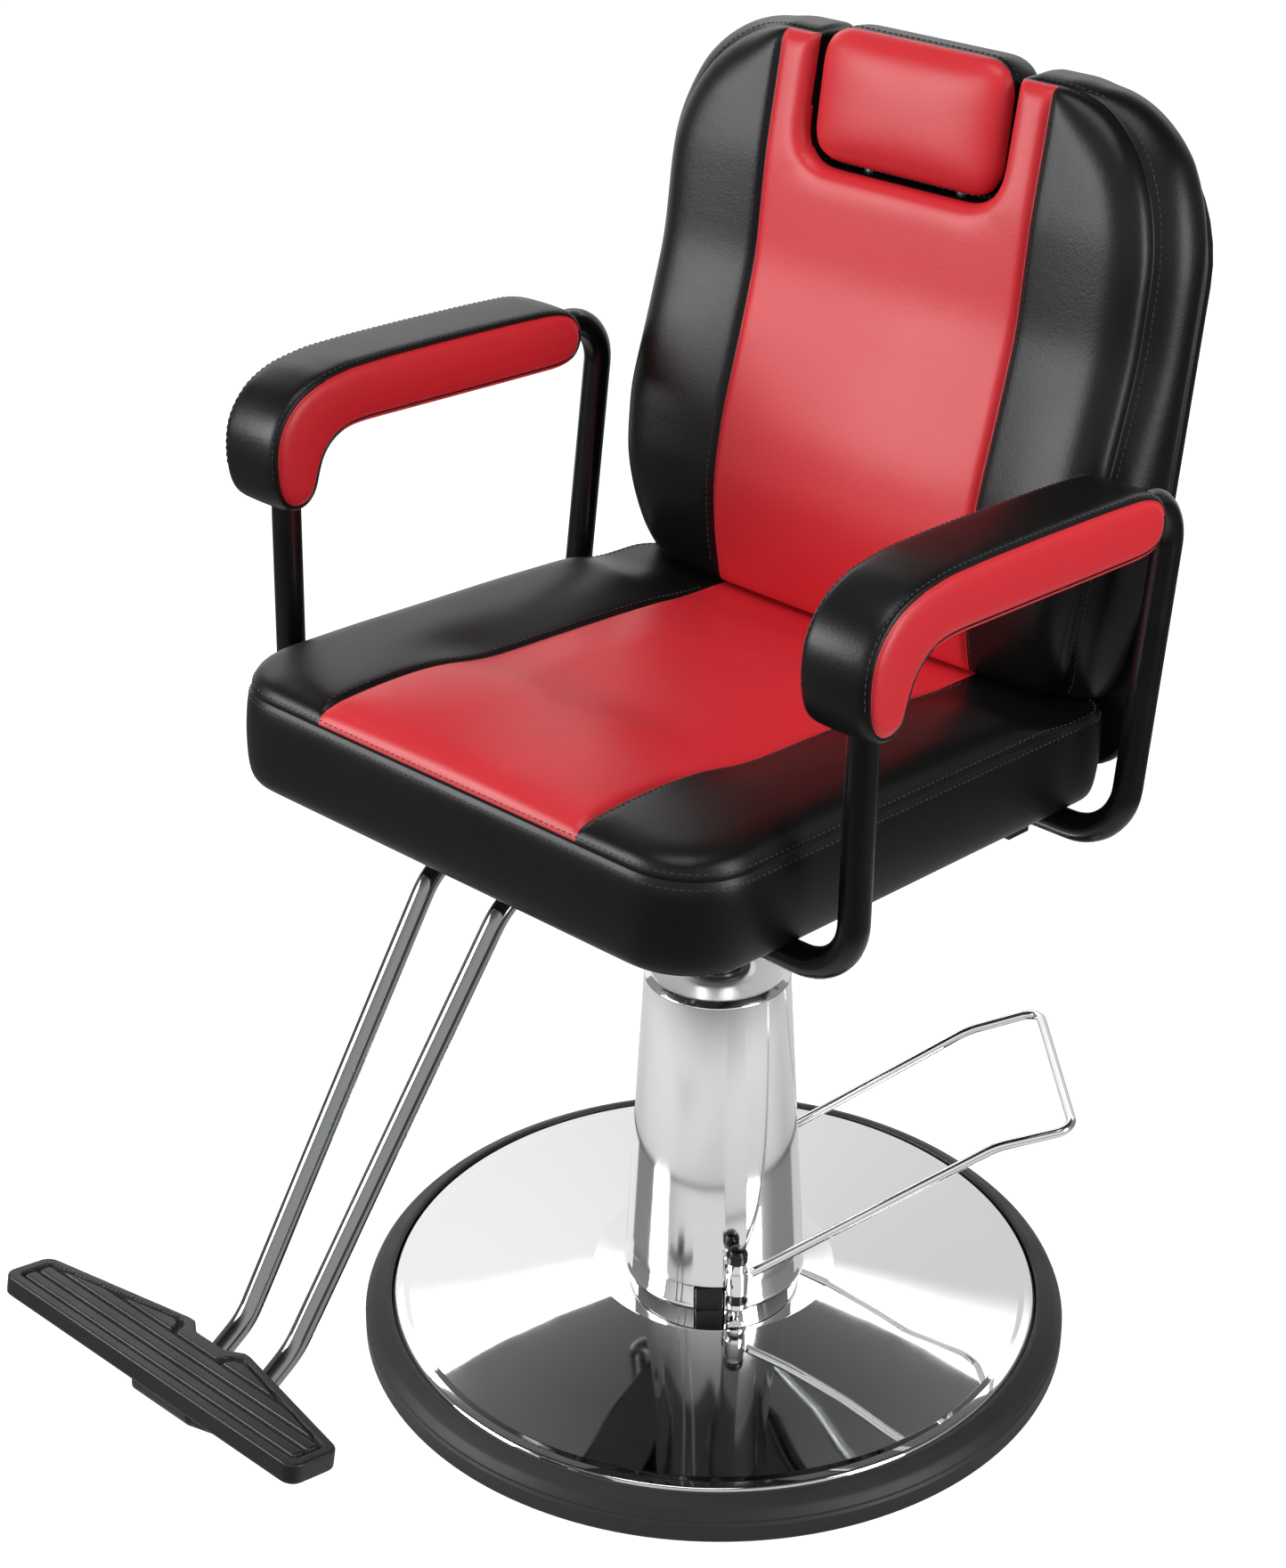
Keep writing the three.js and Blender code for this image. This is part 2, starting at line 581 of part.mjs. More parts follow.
function pedal() {
  const rise = PEDAL_RISE * DEGREE;
  const tipRise = PEDAL_TIP_RISE * DEGREE;
  const reach = LUG_RADIUS + SEATED_GAP + PEDAL_ROD_RADIUS * Math.sin(rise);
  const root = [PEDAL_PIVOT_OUT + reach, PEDAL_PIVOT_HEIGHT + reach * Math.tan(rise)];
  const beyond = ([out, height], length, angle) => [
    out + length * Math.cos(angle),
    height + length * Math.sin(angle),
  ];
  const knee = beyond(root, PEDAL_ROD_LENGTH, rise);
  const tip = beyond(knee, PEDAL_TIP_LENGTH, tipRise);
  const corner = ([out, height], across) => new THREE.Vector3(out, across, height);
  const loop = rounded([
    corner(root, -PEDAL_ROOT_HALF), corner(knee, -PEDAL_KNEE_HALF), corner(tip, -PEDAL_TIP_HALF),
    corner(tip, PEDAL_TIP_HALF), corner(knee, PEDAL_KNEE_HALF), corner(root, PEDAL_ROOT_HALF),
  ], [60, PEDAL_BEND, PEDAL_BEND, 60], 4);
  piece(stand, 'pedal_loop', onPedalAxes(bar(loop, PEDAL_ROD_RADIUS, 10)), CHROME);

  const shaft = new THREE.CylinderGeometry(PEDAL_SHAFT_RADIUS, PEDAL_SHAFT_RADIUS,
    2 * (PEDAL_ROOT_HALF - LUG_RADIUS - SEATED_GAP), 16).translate(PEDAL_PIVOT_OUT, 0, PEDAL_PIVOT_HEIGHT);
  const finger = box(
    [PEDAL_PIVOT_OUT, PEDAL_PIVOT_OUT + FINGER_REACH],
    [-FINGER_HALF_WIDTH, FINGER_HALF_WIDTH],
    [PEDAL_PIVOT_HEIGHT - FINGER_HALF_HEIGHT, PEDAL_PIVOT_HEIGHT + FINGER_HALF_HEIGHT],
  );
  piece(stand, 'pedal_shaft', onPedalAxes(join(shaft, finger)), STEEL);
  for (const [name, across] of [['near', PEDAL_ROOT_HALF], ['far', -PEDAL_ROOT_HALF]]) {
    const lug = turned([
      [0, -LUG_BELOW], [LUG_RADIUS - 2, -LUG_BELOW], [LUG_RADIUS, -LUG_BELOW + 2],
      [LUG_RADIUS, LUG_ABOVE - 4], [LUG_RADIUS - 3, LUG_ABOVE], [0, LUG_ABOVE],
    ], 16).translate(PEDAL_PIVOT_OUT, across, PEDAL_PIVOT_HEIGHT);
    piece(stand, `pedal_lug_${name}`, onPedalAxes(lug), CHROME);
  }
}

// ---------------------------------------------------------------- lift and seat frame

function lift() {
  piece(stand, 'lift_ram', upright(RAM_RADIUS, RAM_FOOT, RAM_TOP, 24), CHROME);
  piece(stand, 'ram_piston', upright(CYLINDER_BORE - RUNNING_GAP, RAM_FOOT - SEATED_GAP - PISTON_HEIGHT,
    RAM_FOOT - SEATED_GAP, 24), STEEL);
}

function seatFrame() {
  const plateBottom = FRAME_TOP - SEAT_PLATE_THICKNESS;
  piece(seatUnit, 'seat_plate', box([-RAIL_INNER + SEATED_GAP, RAIL_INNER - SEATED_GAP],
    [-SEAT_PLATE_HALF, SEAT_PLATE_HALF], [plateBottom, FRAME_TOP]), BLACK_PAINT);
  // The hub stands upright on the ram and its flange follows the lean of the plate.
  const flangeTop = plateBottom - SEATED_GAP;
  const flange = upright(HUB_FLANGE_RADIUS, flangeTop - HUB_FLANGE_THICKNESS, flangeTop, 24)
    .applyMatrix4(seatUnit.matrix);
  const sleeve = upright(HUB_RADIUS, HUB_BOTTOM, flangeTop - HUB_FLANGE_THICKNESS / 2, 24);
  const bore = upright(RAM_RADIUS + RUNNING_GAP, HUB_BOTTOM - 5, RAM_TOP + SEATED_GAP, 24);
  piece(stand, 'swivel_hub', cut(join(sleeve, flange), bore), BLACK_PAINT);
  let number = 0;
  for (const x of [-1, 1]) {
    for (const y of [-1, 1]) {
      number += 1;
      const inset = SEAT_PLATE_HALF - 2 * BOLT_RADIUS;
      piece(seatUnit, `seat_plate_bolt_${number}`, upright(BOLT_RADIUS, plateBottom - SEATED_GAP - BOLT_HEAD,
        plateBottom - SEATED_GAP, 6).translate(x * inset, y * inset, 0), STEEL);
    }
  }
  for (const { name, sign } of SIDES) {
    const rail = profiled([
      [RAIL_FRONT, RAIL_BOTTOM + RAIL_HEIGHT / 3], [RAIL_FRONT + 15, RAIL_BOTTOM], [RAIL_REAR, RAIL_BOTTOM],
      [RAIL_REAR, FRAME_TOP], [RAIL_FRONT, FRAME_TOP],
    ], RAIL_INNER, RAIL_OUTER);
    const pinHole = crosswise(PIN_RADIUS + RUNNING_GAP, RAIL_INNER - 5, RAIL_OUTER + 5,
      RECLINE_PIVOT.y, RECLINE_PIVOT.z);
    piece(seatUnit, `seat_rail_${name}`, mirrored(cut(rail, pinHole), sign), BLACK_PAINT);
    const pinEnd = RAIL_OUTER + SEATED_GAP + HINGE_ARM_THICKNESS + 2;
    piece(seatUnit, `recline_pin_${name}`, mirrored(join(
      crosswise(PIN_RADIUS, RAIL_INNER - SEATED_GAP - 1, pinEnd, RECLINE_PIVOT.y, RECLINE_PIVOT.z),
      crosswise(PIN_RADIUS + 4, RAIL_INNER - SEATED_GAP - BOLT_HEAD, RAIL_INNER - SEATED_GAP,
        RECLINE_PIVOT.y, RECLINE_PIVOT.z, 6),
    ), sign), STEEL);
  }
}

function mirrored(geometry, sign) {
  return closed(geometry.scale(sign, 1, 1));
}

// ---------------------------------------------------------------- seat cushion

function seatPlan(u, v, inset) {
  const halfDepth = (SEAT_REAR - SEAT_FRONT) / 2;
  const x = seamedColumn(u, SEAT_PANEL_HALF, SEAT_HALF_WIDTH);
  const corner = v < 0 ? SEAT_CORNER : SEAT_CORNER / 2;
  const [across, lengthwise] = roundCorner(x, v * halfDepth, SEAT_HALF_WIDTH, halfDepth, corner, corner);
  return [
    across * (1 - inset / SEAT_HALF_WIDTH),
    lengthwise * (1 - inset / halfDepth) + (SEAT_FRONT + SEAT_REAR) / 2,
  ];
}

function seat() {
  const cushion = formed([20, 18, 3], (u, v, w) => {
    const level = (w + 1) / 2;
    const edge = Math.max(Math.abs(u), Math.abs(v));
    const bulge = edge > 0.99 ? SIDE_BULGE * Math.sin(level * Math.PI) : 0;
    const [x, y] = seatPlan(u, v, -bulge);
    const loft = (1 - u ** 4) * (1 - v ** 4);
    const sunkRear = THREE.MathUtils.smoothstep(y, 60, 130);
    const groove = seamGroove(u) * Math.min(1, loft * 3) * (1 - sunkRear);
    const top = SEAT_SEAM_HEIGHT + along(SEAT_ROLL, y) * (1 - u ** 6) - groove - 3 * sunkRear;
    return [x, y, THREE.MathUtils.lerp(SEAT_UNDERSIDE, w < 0.99 ? SEAT_SEAM_HEIGHT : top, level)];
  });
  const boardOutline = (grow) => {
    const halfWidth = SEAT_HALF_WIDTH - SEAT_BOARD_INSET + grow;
    const front = SEAT_FRONT + SEAT_BOARD_INSET - grow;
    const rear = SEAT_REAR - SEAT_BOARD_INSET + grow;
    const corner = SEAT_CORNER;
    return new THREE.Shape([
      ...arc(halfWidth - corner, front + corner, corner, -90, 0, 5),
      ...arc(halfWidth - corner / 2, rear - corner / 2, corner / 2, 0, 90, 3),
      ...arc(-halfWidth + corner / 2, rear - corner / 2, corner / 2, 90, 180, 3),
      ...arc(-halfWidth + corner, front + corner, corner, 180, 270, 5),
    ].map(([x, y]) => new THREE.Vector2(x, y)));
  };
  const slab = (grow, bottom, thickness) => new THREE.ExtrudeGeometry(boardOutline(grow), {
    depth: thickness,
    bevelEnabled: false,
  }).translate(0, 0, bottom);
  const pocket = slab(1, SEAT_UNDERSIDE - 5, 5 + SEAT_BOARD_THICKNESS + SEATED_GAP);
  piece(seatUnit, 'seat_cushion', cut(cushion, pocket), RED_VINYL);
  piece(seatUnit, 'seat_board', slab(0, SEAT_UNDERSIDE, SEAT_BOARD_THICKNESS), PLYWOOD);
}

// ---------------------------------------------------------------- arms

function armRoute() {
  const at = (x, y, z) => new THREE.Vector3(x, y, z);
  const start = RAIL_OUTER + SEATED_GAP;
  return rounded([
    at(start, ARM_FRONT_BOTTOM, ARM_TUBE_LOW),
    at(ARM_CENTRE, ARM_FRONT_BOTTOM, ARM_TUBE_LOW),
    at(ARM_CENTRE, ARM_FRONT_TOP, ARM_TUBE_HEIGHT),
    at(ARM_CENTRE, ARM_REAR_TOP, ARM_TUBE_HEIGHT),
    at(ARM_CENTRE, ARM_REAR_BOTTOM, ARM_TUBE_LOW),
    at(start, ARM_REAR_BOTTOM, ARM_TUBE_LOW),
  ], [ARM_SEAT_BEND, ARM_TOP_BEND, ARM_TOP_BEND, ARM_SEAT_BEND], 5);
}

function arms() {
  const noseRadius = 62;
  const lobe = (PAD_LOBE_REAR - PAD_FRONT) / 2;
  const tailRadius = (PAD_TOP - PAD_BOTTOM) / 2 - 4;
  const throat = 22;
  const grown = PAD_ROUND;
  const outline = [
    ...arc(PAD_FRONT + lobe, PAD_LOBE_BOTTOM + lobe, lobe - grown, 180, 360, 6),
    ...arc(PAD_LOBE_REAR + throat, PAD_BOTTOM - throat, throat + grown, 180, 90, 4),
    ...arc(PAD_REAR - tailRadius, PAD_BOTTOM + tailRadius, tailRadius - grown, -90, 0, 3),
    ...arc(PAD_REAR - tailRadius, PAD_TOP - tailRadius, tailRadius - grown, 0, 90, 3),
    ...arc(PAD_FRONT + noseRadius, PAD_TOP - noseRadius, noseRadius - grown, 90, 180, 6),
  ];
  const inner = ARM_CENTRE - PAD_WIDTH / 2;
  for (const { name, sign } of SIDES) {
    const shape = new THREE.Shape(outline.map(([y, z]) => new THREE.Vector2(y, z)));
    const pad = new THREE.ExtrudeGeometry(shape, {
      depth: PAD_WIDTH - 2 * PAD_ROUND,
      bevelEnabled: true,
      bevelThickness: PAD_ROUND,
      bevelSize: PAD_ROUND,
      bevelSegments: 3,
    }).rotateX(Math.PI / 2).rotateZ(Math.PI / 2).translate(inner + PAD_ROUND, 0, 0);
    const tunnel = bar(armRoute(), ARM_TUBE_RADIUS + 2 * SEATED_GAP, 10);
    piece(seatUnit, `arm_pad_${name}`, mirrored(cut(pad, tunnel), sign), BLACK_VINYL);
    piece(seatUnit, `arm_tube_${name}`, mirrored(bar(armRoute(), ARM_TUBE_RADIUS, 10), sign), BLACK_PAINT);
  }
  let number = 0;
  for (const y of [ARM_FRONT_BOTTOM, ARM_REAR_BOTTOM]) {
    for (const { sign } of SIDES) {
      number += 1;
      const headEnd = RAIL_INNER - SEATED_GAP - BOLT_HEAD;
      piece(seatUnit, `arm_bolt_${number}`, mirrored(crosswise(BOLT_RADIUS, headEnd,
        RAIL_INNER - SEATED_GAP, y, ARM_TUBE_LOW, 6), sign), STEEL);
    }
  }
}

// ---------------------------------------------------------------- footrest

function footTubeRoute(beyond = 0) {
  return rounded([
    new THREE.Vector3(FOOT_TUBE_TOP_HALF, FOOT_TUBE_START, FOOT_TUBE_HIGH),
    new THREE.Vector3(FOOT_TUBE_TOP_HALF, FOOT_TUBE_TOP_KNEE, FOOT_TUBE_HIGH),
    new THREE.Vector3(FOOT_TUBE_LOW_HALF, FOOT_TUBE_LOW_KNEE, FOOT_TUBE_LOW_HEIGHT),
    new THREE.Vector3(FOOT_TUBE_LOW_HALF, FOOT_TUBE_TOE_KNEE, FOOT_TUBE_END_HEIGHT),
    new THREE.Vector3(FOOT_TUBE_LOW_HALF, FOOT_TUBE_END - beyond, FOOT_TUBE_END_HEIGHT),
  ], [FOOT_TUBE_BEND, FOOT_TUBE_BEND, FOOT_TUBE_BEND], 4);
}

function footplate() {
  const outline = new THREE.Shape([
    [-FOOTPLATE_HALF_WIDTH, FOOTPLATE_FRONT + 6], [-FOOTPLATE_HALF_WIDTH + 6, FOOTPLATE_FRONT],
    [FOOTPLATE_HALF_WIDTH - 6, FOOTPLATE_FRONT], [FOOTPLATE_HALF_WIDTH, FOOTPLATE_FRONT + 6],
    [FOOTPLATE_HALF_WIDTH, FOOTPLATE_END_REAR - 6], [FOOTPLATE_HALF_WIDTH - 8, FOOTPLATE_END_REAR],
    [FOOTPLATE_HUB_HALF, FOOTPLATE_HUB_REAR], [-FOOTPLATE_HUB_HALF, FOOTPLATE_HUB_REAR],
    [-FOOTPLATE_HALF_WIDTH + 8, FOOTPLATE_END_REAR], [-FOOTPLATE_HALF_WIDTH, FOOTPLATE_END_REAR - 6],
  ].map(([x, y]) => new THREE.Vector2(x, y)));
  const slab = new THREE.ExtrudeGeometry(outline, {
    depth: FOOTPLATE_THICKNESS - 3,
    bevelEnabled: true,
    bevelThickness: 1.5,
    bevelSize: 1.5,
    bevelOffset: -1.5,
    bevelSegments: 1,
  }).translate(0, 0, FOOTPLATE_TOP - FOOTPLATE_THICKNESS + 1.5);
  const bossBottom = FOOT_TUBE_END_HEIGHT - FOOT_TUBE_RADIUS - 3;
  const bossTop = FOOTPLATE_TOP - FOOTPLATE_THICKNESS + 2;
  const boss = profiled([
    [FOOTPLATE_BOSS_FRONT, bossTop + 4], [FOOTPLATE_BOSS_FRONT, FOOTPLATE_BOSS_LIP],
    [FOOT_TUBE_END - 3, bossBottom], [FOOT_TUBE_TOE_KNEE + 6, bossBottom],
    [FOOTPLATE_HUB_REAR + 14, bossBottom + 22], [FOOTPLATE_HUB_REAR - 3, bossTop],
  ], -FOOTPLATE_BOSS_HALF, FOOTPLATE_BOSS_HALF);
  const pitch = (FOOTPLATE_END_REAR - FOOTPLATE_FRONT) / RIB_GAPS;
  const gaps = Array.from({ length: RIB_GAPS }, (_, i) => {
    const middle = FOOTPLATE_FRONT + pitch * (i + 1);
    const half = FOOTPLATE_HALF_WIDTH - 12 - Math.max(0, middle - FOOTPLATE_END_REAR + 10) * 4;
    return box([-half, half], [middle - RIB_GAP_WIDTH / 2, middle + RIB_GAP_WIDTH / 2],
      [FOOTPLATE_TOP - RIB_GAP_DEPTH, FOOTPLATE_TOP + 5]);
  });
  const tilted = (shape) => shape.translate(0, -FOOTPLATE_HUB_REAR, -FOOTPLATE_TOP)
    .rotateX(-FOOTPLATE_TILT * DEGREE).translate(0, FOOTPLATE_HUB_REAR, FOOTPLATE_TOP);
  const socket = () => bar(footTubeRoute(2 * SEATED_GAP), FOOT_TUBE_RADIUS + 2 * SEATED_GAP, 12);
  const sockets = SIDES.map(({ sign }) => mirrored(socket(), sign));
  piece(seatUnit, 'footplate', cut(join(tilted(slab), boss), ...gaps.map(tilted), ...sockets), BLACK_PLASTIC);
}

function footrest() {
  for (const { name, sign } of SIDES) {
    const tube = mirrored(bar(footTubeRoute(), FOOT_TUBE_RADIUS, 12), sign);
    piece(seatUnit, `footrest_tube_${name}`, tube, CHROME);
  }
  footplate();
  const clampTop = FOOT_TUBE_HIGH - FOOT_TUBE_RADIUS - SEATED_GAP;
  piece(seatUnit, 'footrest_clamp', box([-CLAMP_HALF_WIDTH, CLAMP_HALF_WIDTH], [CLAMP_FRONT, CLAMP_REAR],
    [clampTop - CLAMP_THICKNESS, clampTop]), BLACK_PAINT);
  [0, 1].forEach((i) => {
    const boltBottom = clampTop - CLAMP_THICKNESS - SEATED_GAP - BOLT_HEAD;
    piece(seatUnit, `footrest_bolt_${i + 1}`, upright(BOLT_RADIUS, boltBottom, boltBottom + BOLT_HEAD, 6)
      .translate(0, THREE.MathUtils.lerp(CLAMP_FRONT, CLAMP_REAR, 0.28 + 0.44 * i), 0), STEEL);
  });
}

// ---------------------------------------------------------------- back

// Puts a shape drawn with Y = forward of the board's plane and Z = up it into its place on the chair.
function onBack(geometry) {
  return geometry.rotateX(-BACK_TILT * DEGREE).translate(0, BACK_FOOT.y, BACK_FOOT.z);
}

// The place up the board at which a point so far behind its plane is at a given height.
const upBoardAt = (height, behind) => (height - BACK_FOOT.z + behind * Math.sin(BACK_TILT * DEGREE))
  / Math.cos(BACK_TILT * DEGREE);

const swell = new THREE.SplineCurve(BACK_SWELL.map(([up, forward]) => new THREE.Vector2(up, forward)));
const swellKnots = Array.from({ length: 29 }, (_, i) => swell.getPoint(i / 28).toArray());

function notchOutline(grow) {
  const half = NOTCH_HALF_WIDTH + grow;
  const bottom = NOTCH_BOTTOM - grow;
  return [
    ...arc(-half + NOTCH_CORNER, bottom + NOTCH_CORNER, NOTCH_CORNER, 180, 270, 4),
    ...arc(half - NOTCH_CORNER, bottom + NOTCH_CORNER, NOTCH_CORNER, 270, 360, 4),
    [half, BACK_HEIGHT + 60],
    [-half, BACK_HEIGHT + 60],
  ];
}

// An outline of [x, up] points as a slab between two depths behind the board's plane.
function boardSlab(outline, behindFrom, behindTo) {
  const shape = new THREE.Shape(outline.map(([x, up]) => new THREE.Vector2(x, up)));
  return new THREE.ExtrudeGeometry(shape, { depth: behindTo - behindFrom, bevelEnabled: false })
    .rotateX(Math.PI / 2).translate(0, behindTo, 0);
}

function backCushion() {
  const rear = BACK_THICKNESS - BACK_SHELL_THICKNESS - SEATED_GAP;
  const half = BACK_HEIGHT / 2;
  return formed([20, 18, 2], (u, v, w) => {
    const corner = v > 0 ? BACK_TOP_CORNER : { across: BACK_FOOT_CORNER, up: BACK_FOOT_CORNER };
    const column = seamedColumn(u, BACK_PANEL_HALF, BACK_HALF_WIDTH);
    const [x, centred] = roundCorner(column, v * half, BACK_HALF_WIDTH, half, corner.across, corner.up);
    const up = centred + half;
    const edge = Math.max(Math.abs(u), Math.abs(v)) ** 8;
    const forward = along(swellKnots, up) - BACK_EDGE_ROUND * edge - seamGroove(u) * (1 - edge);
    const behind = [-forward, THREE.MathUtils.lerp(-forward, rear, 0.5), rear][1 - Math.round(w)];
    const lowest = upBoardAt(SEAT_SEAM_HEIGHT + BACK_SEAT_GAP, behind);
    const lift = THREE.MathUtils.lerp(lowest, 0, Math.min(1, up / 90));
    const tuck = edge > 0.92 && Math.round(w) === 0 ? SIDE_BULGE : 0;
    return [x * (1 - tuck / BACK_HALF_WIDTH), behind, Math.max(up + Math.max(lift, 0), lowest)];
  });
}

function back() {
  const notch = boardSlab(notchOutline(0), -60, BACK_THICKNESS + 20);
  const postCentre = POST_SPACING / 2;
  const socketBottom = NOTCH_BOTTOM - POST_BELOW - 10;
  const socketOuter = POST_RADIUS + RUNNING_GAP + SOCKET_WALL;
  const socketHoles = [-1, 1].map((sign) => upright(socketOuter + SEATED_GAP, socketBottom - SEATED_GAP,
    NOTCH_BOTTOM + 20, 12).translate(sign * postCentre, POST_BEHIND, 0));
  piece(seatUnit, 'back_cushion', onBack(cut(backCushion(), notch, ...socketHoles)), BLACK_VINYL);

  const shellHalf = BACK_HALF_WIDTH - BACK_SHELL_INSET;
  const shellTop = BACK_HEIGHT - BACK_SHELL_INSET;
  const lipFront = BACK_THICKNESS - BACK_SHELL_THICKNESS;
  const shellBottom = upBoardAt(BACK_SHELL_BOTTOM, lipFront);
  const ellipse = (from, to) => arc(0, 0, 1, from, to, 6).map(([x, y]) => [
    Math.sign(90 - from - 1) * (shellHalf - BACK_TOP_CORNER.across) + x * BACK_TOP_CORNER.across,
    shellTop - BACK_TOP_CORNER.up + y * BACK_TOP_CORNER.up,
  ]);
  const outline = [
    ...arc(shellHalf - BACK_FOOT_CORNER, shellBottom + BACK_FOOT_CORNER, BACK_FOOT_CORNER, 270, 360, 4),
    ...ellipse(0, 90),
    ...ellipse(90, 180),
    ...arc(-shellHalf + BACK_FOOT_CORNER, shellBottom + BACK_FOOT_CORNER, BACK_FOOT_CORNER, 180, 270, 4),
  ];
  const board = cut(boardSlab(outline, lipFront, BACK_THICKNESS), notch.clone());
  piece(seatUnit, 'back_shell', onBack(board), BLACK_VINYL);

  for (const { name, sign } of SIDES) {
    const bore = POST_RADIUS + RUNNING_GAP;
    piece(seatUnit, `headrest_socket_${name}`, onBack(ring(bore, socketOuter, socketBottom,
      NOTCH_BOTTOM, 12).translate(sign * postCentre, POST_BEHIND, 0)), STEEL);
  }
}

function reclineHinge() {
  const rearAt = (height) => {
    const up = upBoardAt(height, BACK_THICKNESS);
    const lean = BACK_TILT * DEGREE;
    return BACK_FOOT.y + up * Math.sin(lean) + BACK_THICKNESS * Math.cos(lean) + SEATED_GAP;
  };
  const { y, z } = RECLINE_PIVOT;
  const low = BACK_SHELL_BOTTOM - HINGE_ARM_FOOT;
  const high = BACK_SHELL_BOTTOM + HINGE_ARM_REACH;
  const eye = z - CROSSBAR_DROP - HINGE_ARM_EYE.below;
  const hip = z + HINGE_ARM_HIP.above;
  const plate = [
    [y - HINGE_ARM_EYE.half, eye], [y + HINGE_ARM_EYE.half, eye], [y + HINGE_ARM_HIP.half, hip],
    [rearAt(high) + HINGE_ARM_LIP, high], [rearAt(high), high], [rearAt(low), low], [y - HINGE_ARM_HIP.half, hip],
  ];
  const inner = RAIL_OUTER + SEATED_GAP;
  for (const { name, sign } of SIDES) {
    const arm = profiled(plate, inner, inner + HINGE_ARM_THICKNESS);
    const flange = profiled([
      [rearAt(high), high], [rearAt(low), low],
      [rearAt(low) + HINGE_FLANGE_THICKNESS, low], [rearAt(high) + HINGE_FLANGE_THICKNESS, high],
    ], inner, inner + HINGE_FLANGE_WIDTH);
    const holes = [
      crosswise(PIN_RADIUS + RUNNING_GAP, inner - 5, inner + HINGE_ARM_THICKNESS + 5, y, z),
      crosswise(CROSSBAR_RADIUS + SEATED_GAP, inner - 5, inner + HINGE_ARM_THICKNESS + 5,
        y, z - CROSSBAR_DROP),
    ];
    piece(seatUnit, `hinge_arm_${name}`, mirrored(cut(join(arm, flange), ...holes), sign), BLACK_PAINT);
  }
  const barEnd = inner + HINGE_ARM_THICKNESS + 2;
  const crossbar = crosswise(CROSSBAR_RADIUS, -barEnd, barEnd, y, z - CROSSBAR_DROP);
  piece(seatUnit, 'recline_crossbar', crossbar, STEEL);
}

// ---------------------------------------------------------------- headrest

function headrest() {
  const bottom = NOTCH_BOTTOM + HEADREST_GAP;
  const halfWidth = NOTCH_HALF_WIDTH - HEADREST_GAP;
  const halfHeight = (HEADREST_TOP - bottom) / 2;
  const body = formed([10, 8, 2], (u, v, w) => {
    const [x, centred] = roundCorner(u * halfWidth, v * halfHeight, halfWidth, halfHeight,
      HEADREST_CORNER, HEADREST_CORNER);
    const loft = (1 - u ** 4) * (1 - v ** 4);
    const rolled = THREE.MathUtils.lerp(HEADREST_BEHIND, 8, (w + 1) / 2);
    const behind = w > 0.9 ? 8 - HEADREST_CROWN * loft : rolled;
    return [x, behind, centred + bottom + halfHeight];
  });
  const reach = [NOTCH_BOTTOM - POST_BELOW, bottom + POST_INSIDE];
  const hole = POST_RADIUS + SEATED_GAP;
  const holes = [-1, 1].map((sign) => upright(hole, bottom - 10, reach[1] + SEATED_GAP, 12)
    .translate((sign * POST_SPACING) / 2, POST_BEHIND, 0));
  piece(seatUnit, 'headrest_cushion', onBack(cut(body, ...holes)), RED_VINYL);
  for (const { name, sign } of SIDES) {
    piece(seatUnit, `headrest_post_${name}`, onBack(upright(POST_RADIUS, reach[0], reach[1], 12)
      .translate((sign * POST_SPACING) / 2, POST_BEHIND, 0)), STEEL);
  }
}

// ---------------------------------------------------------------- gas strut and release lever

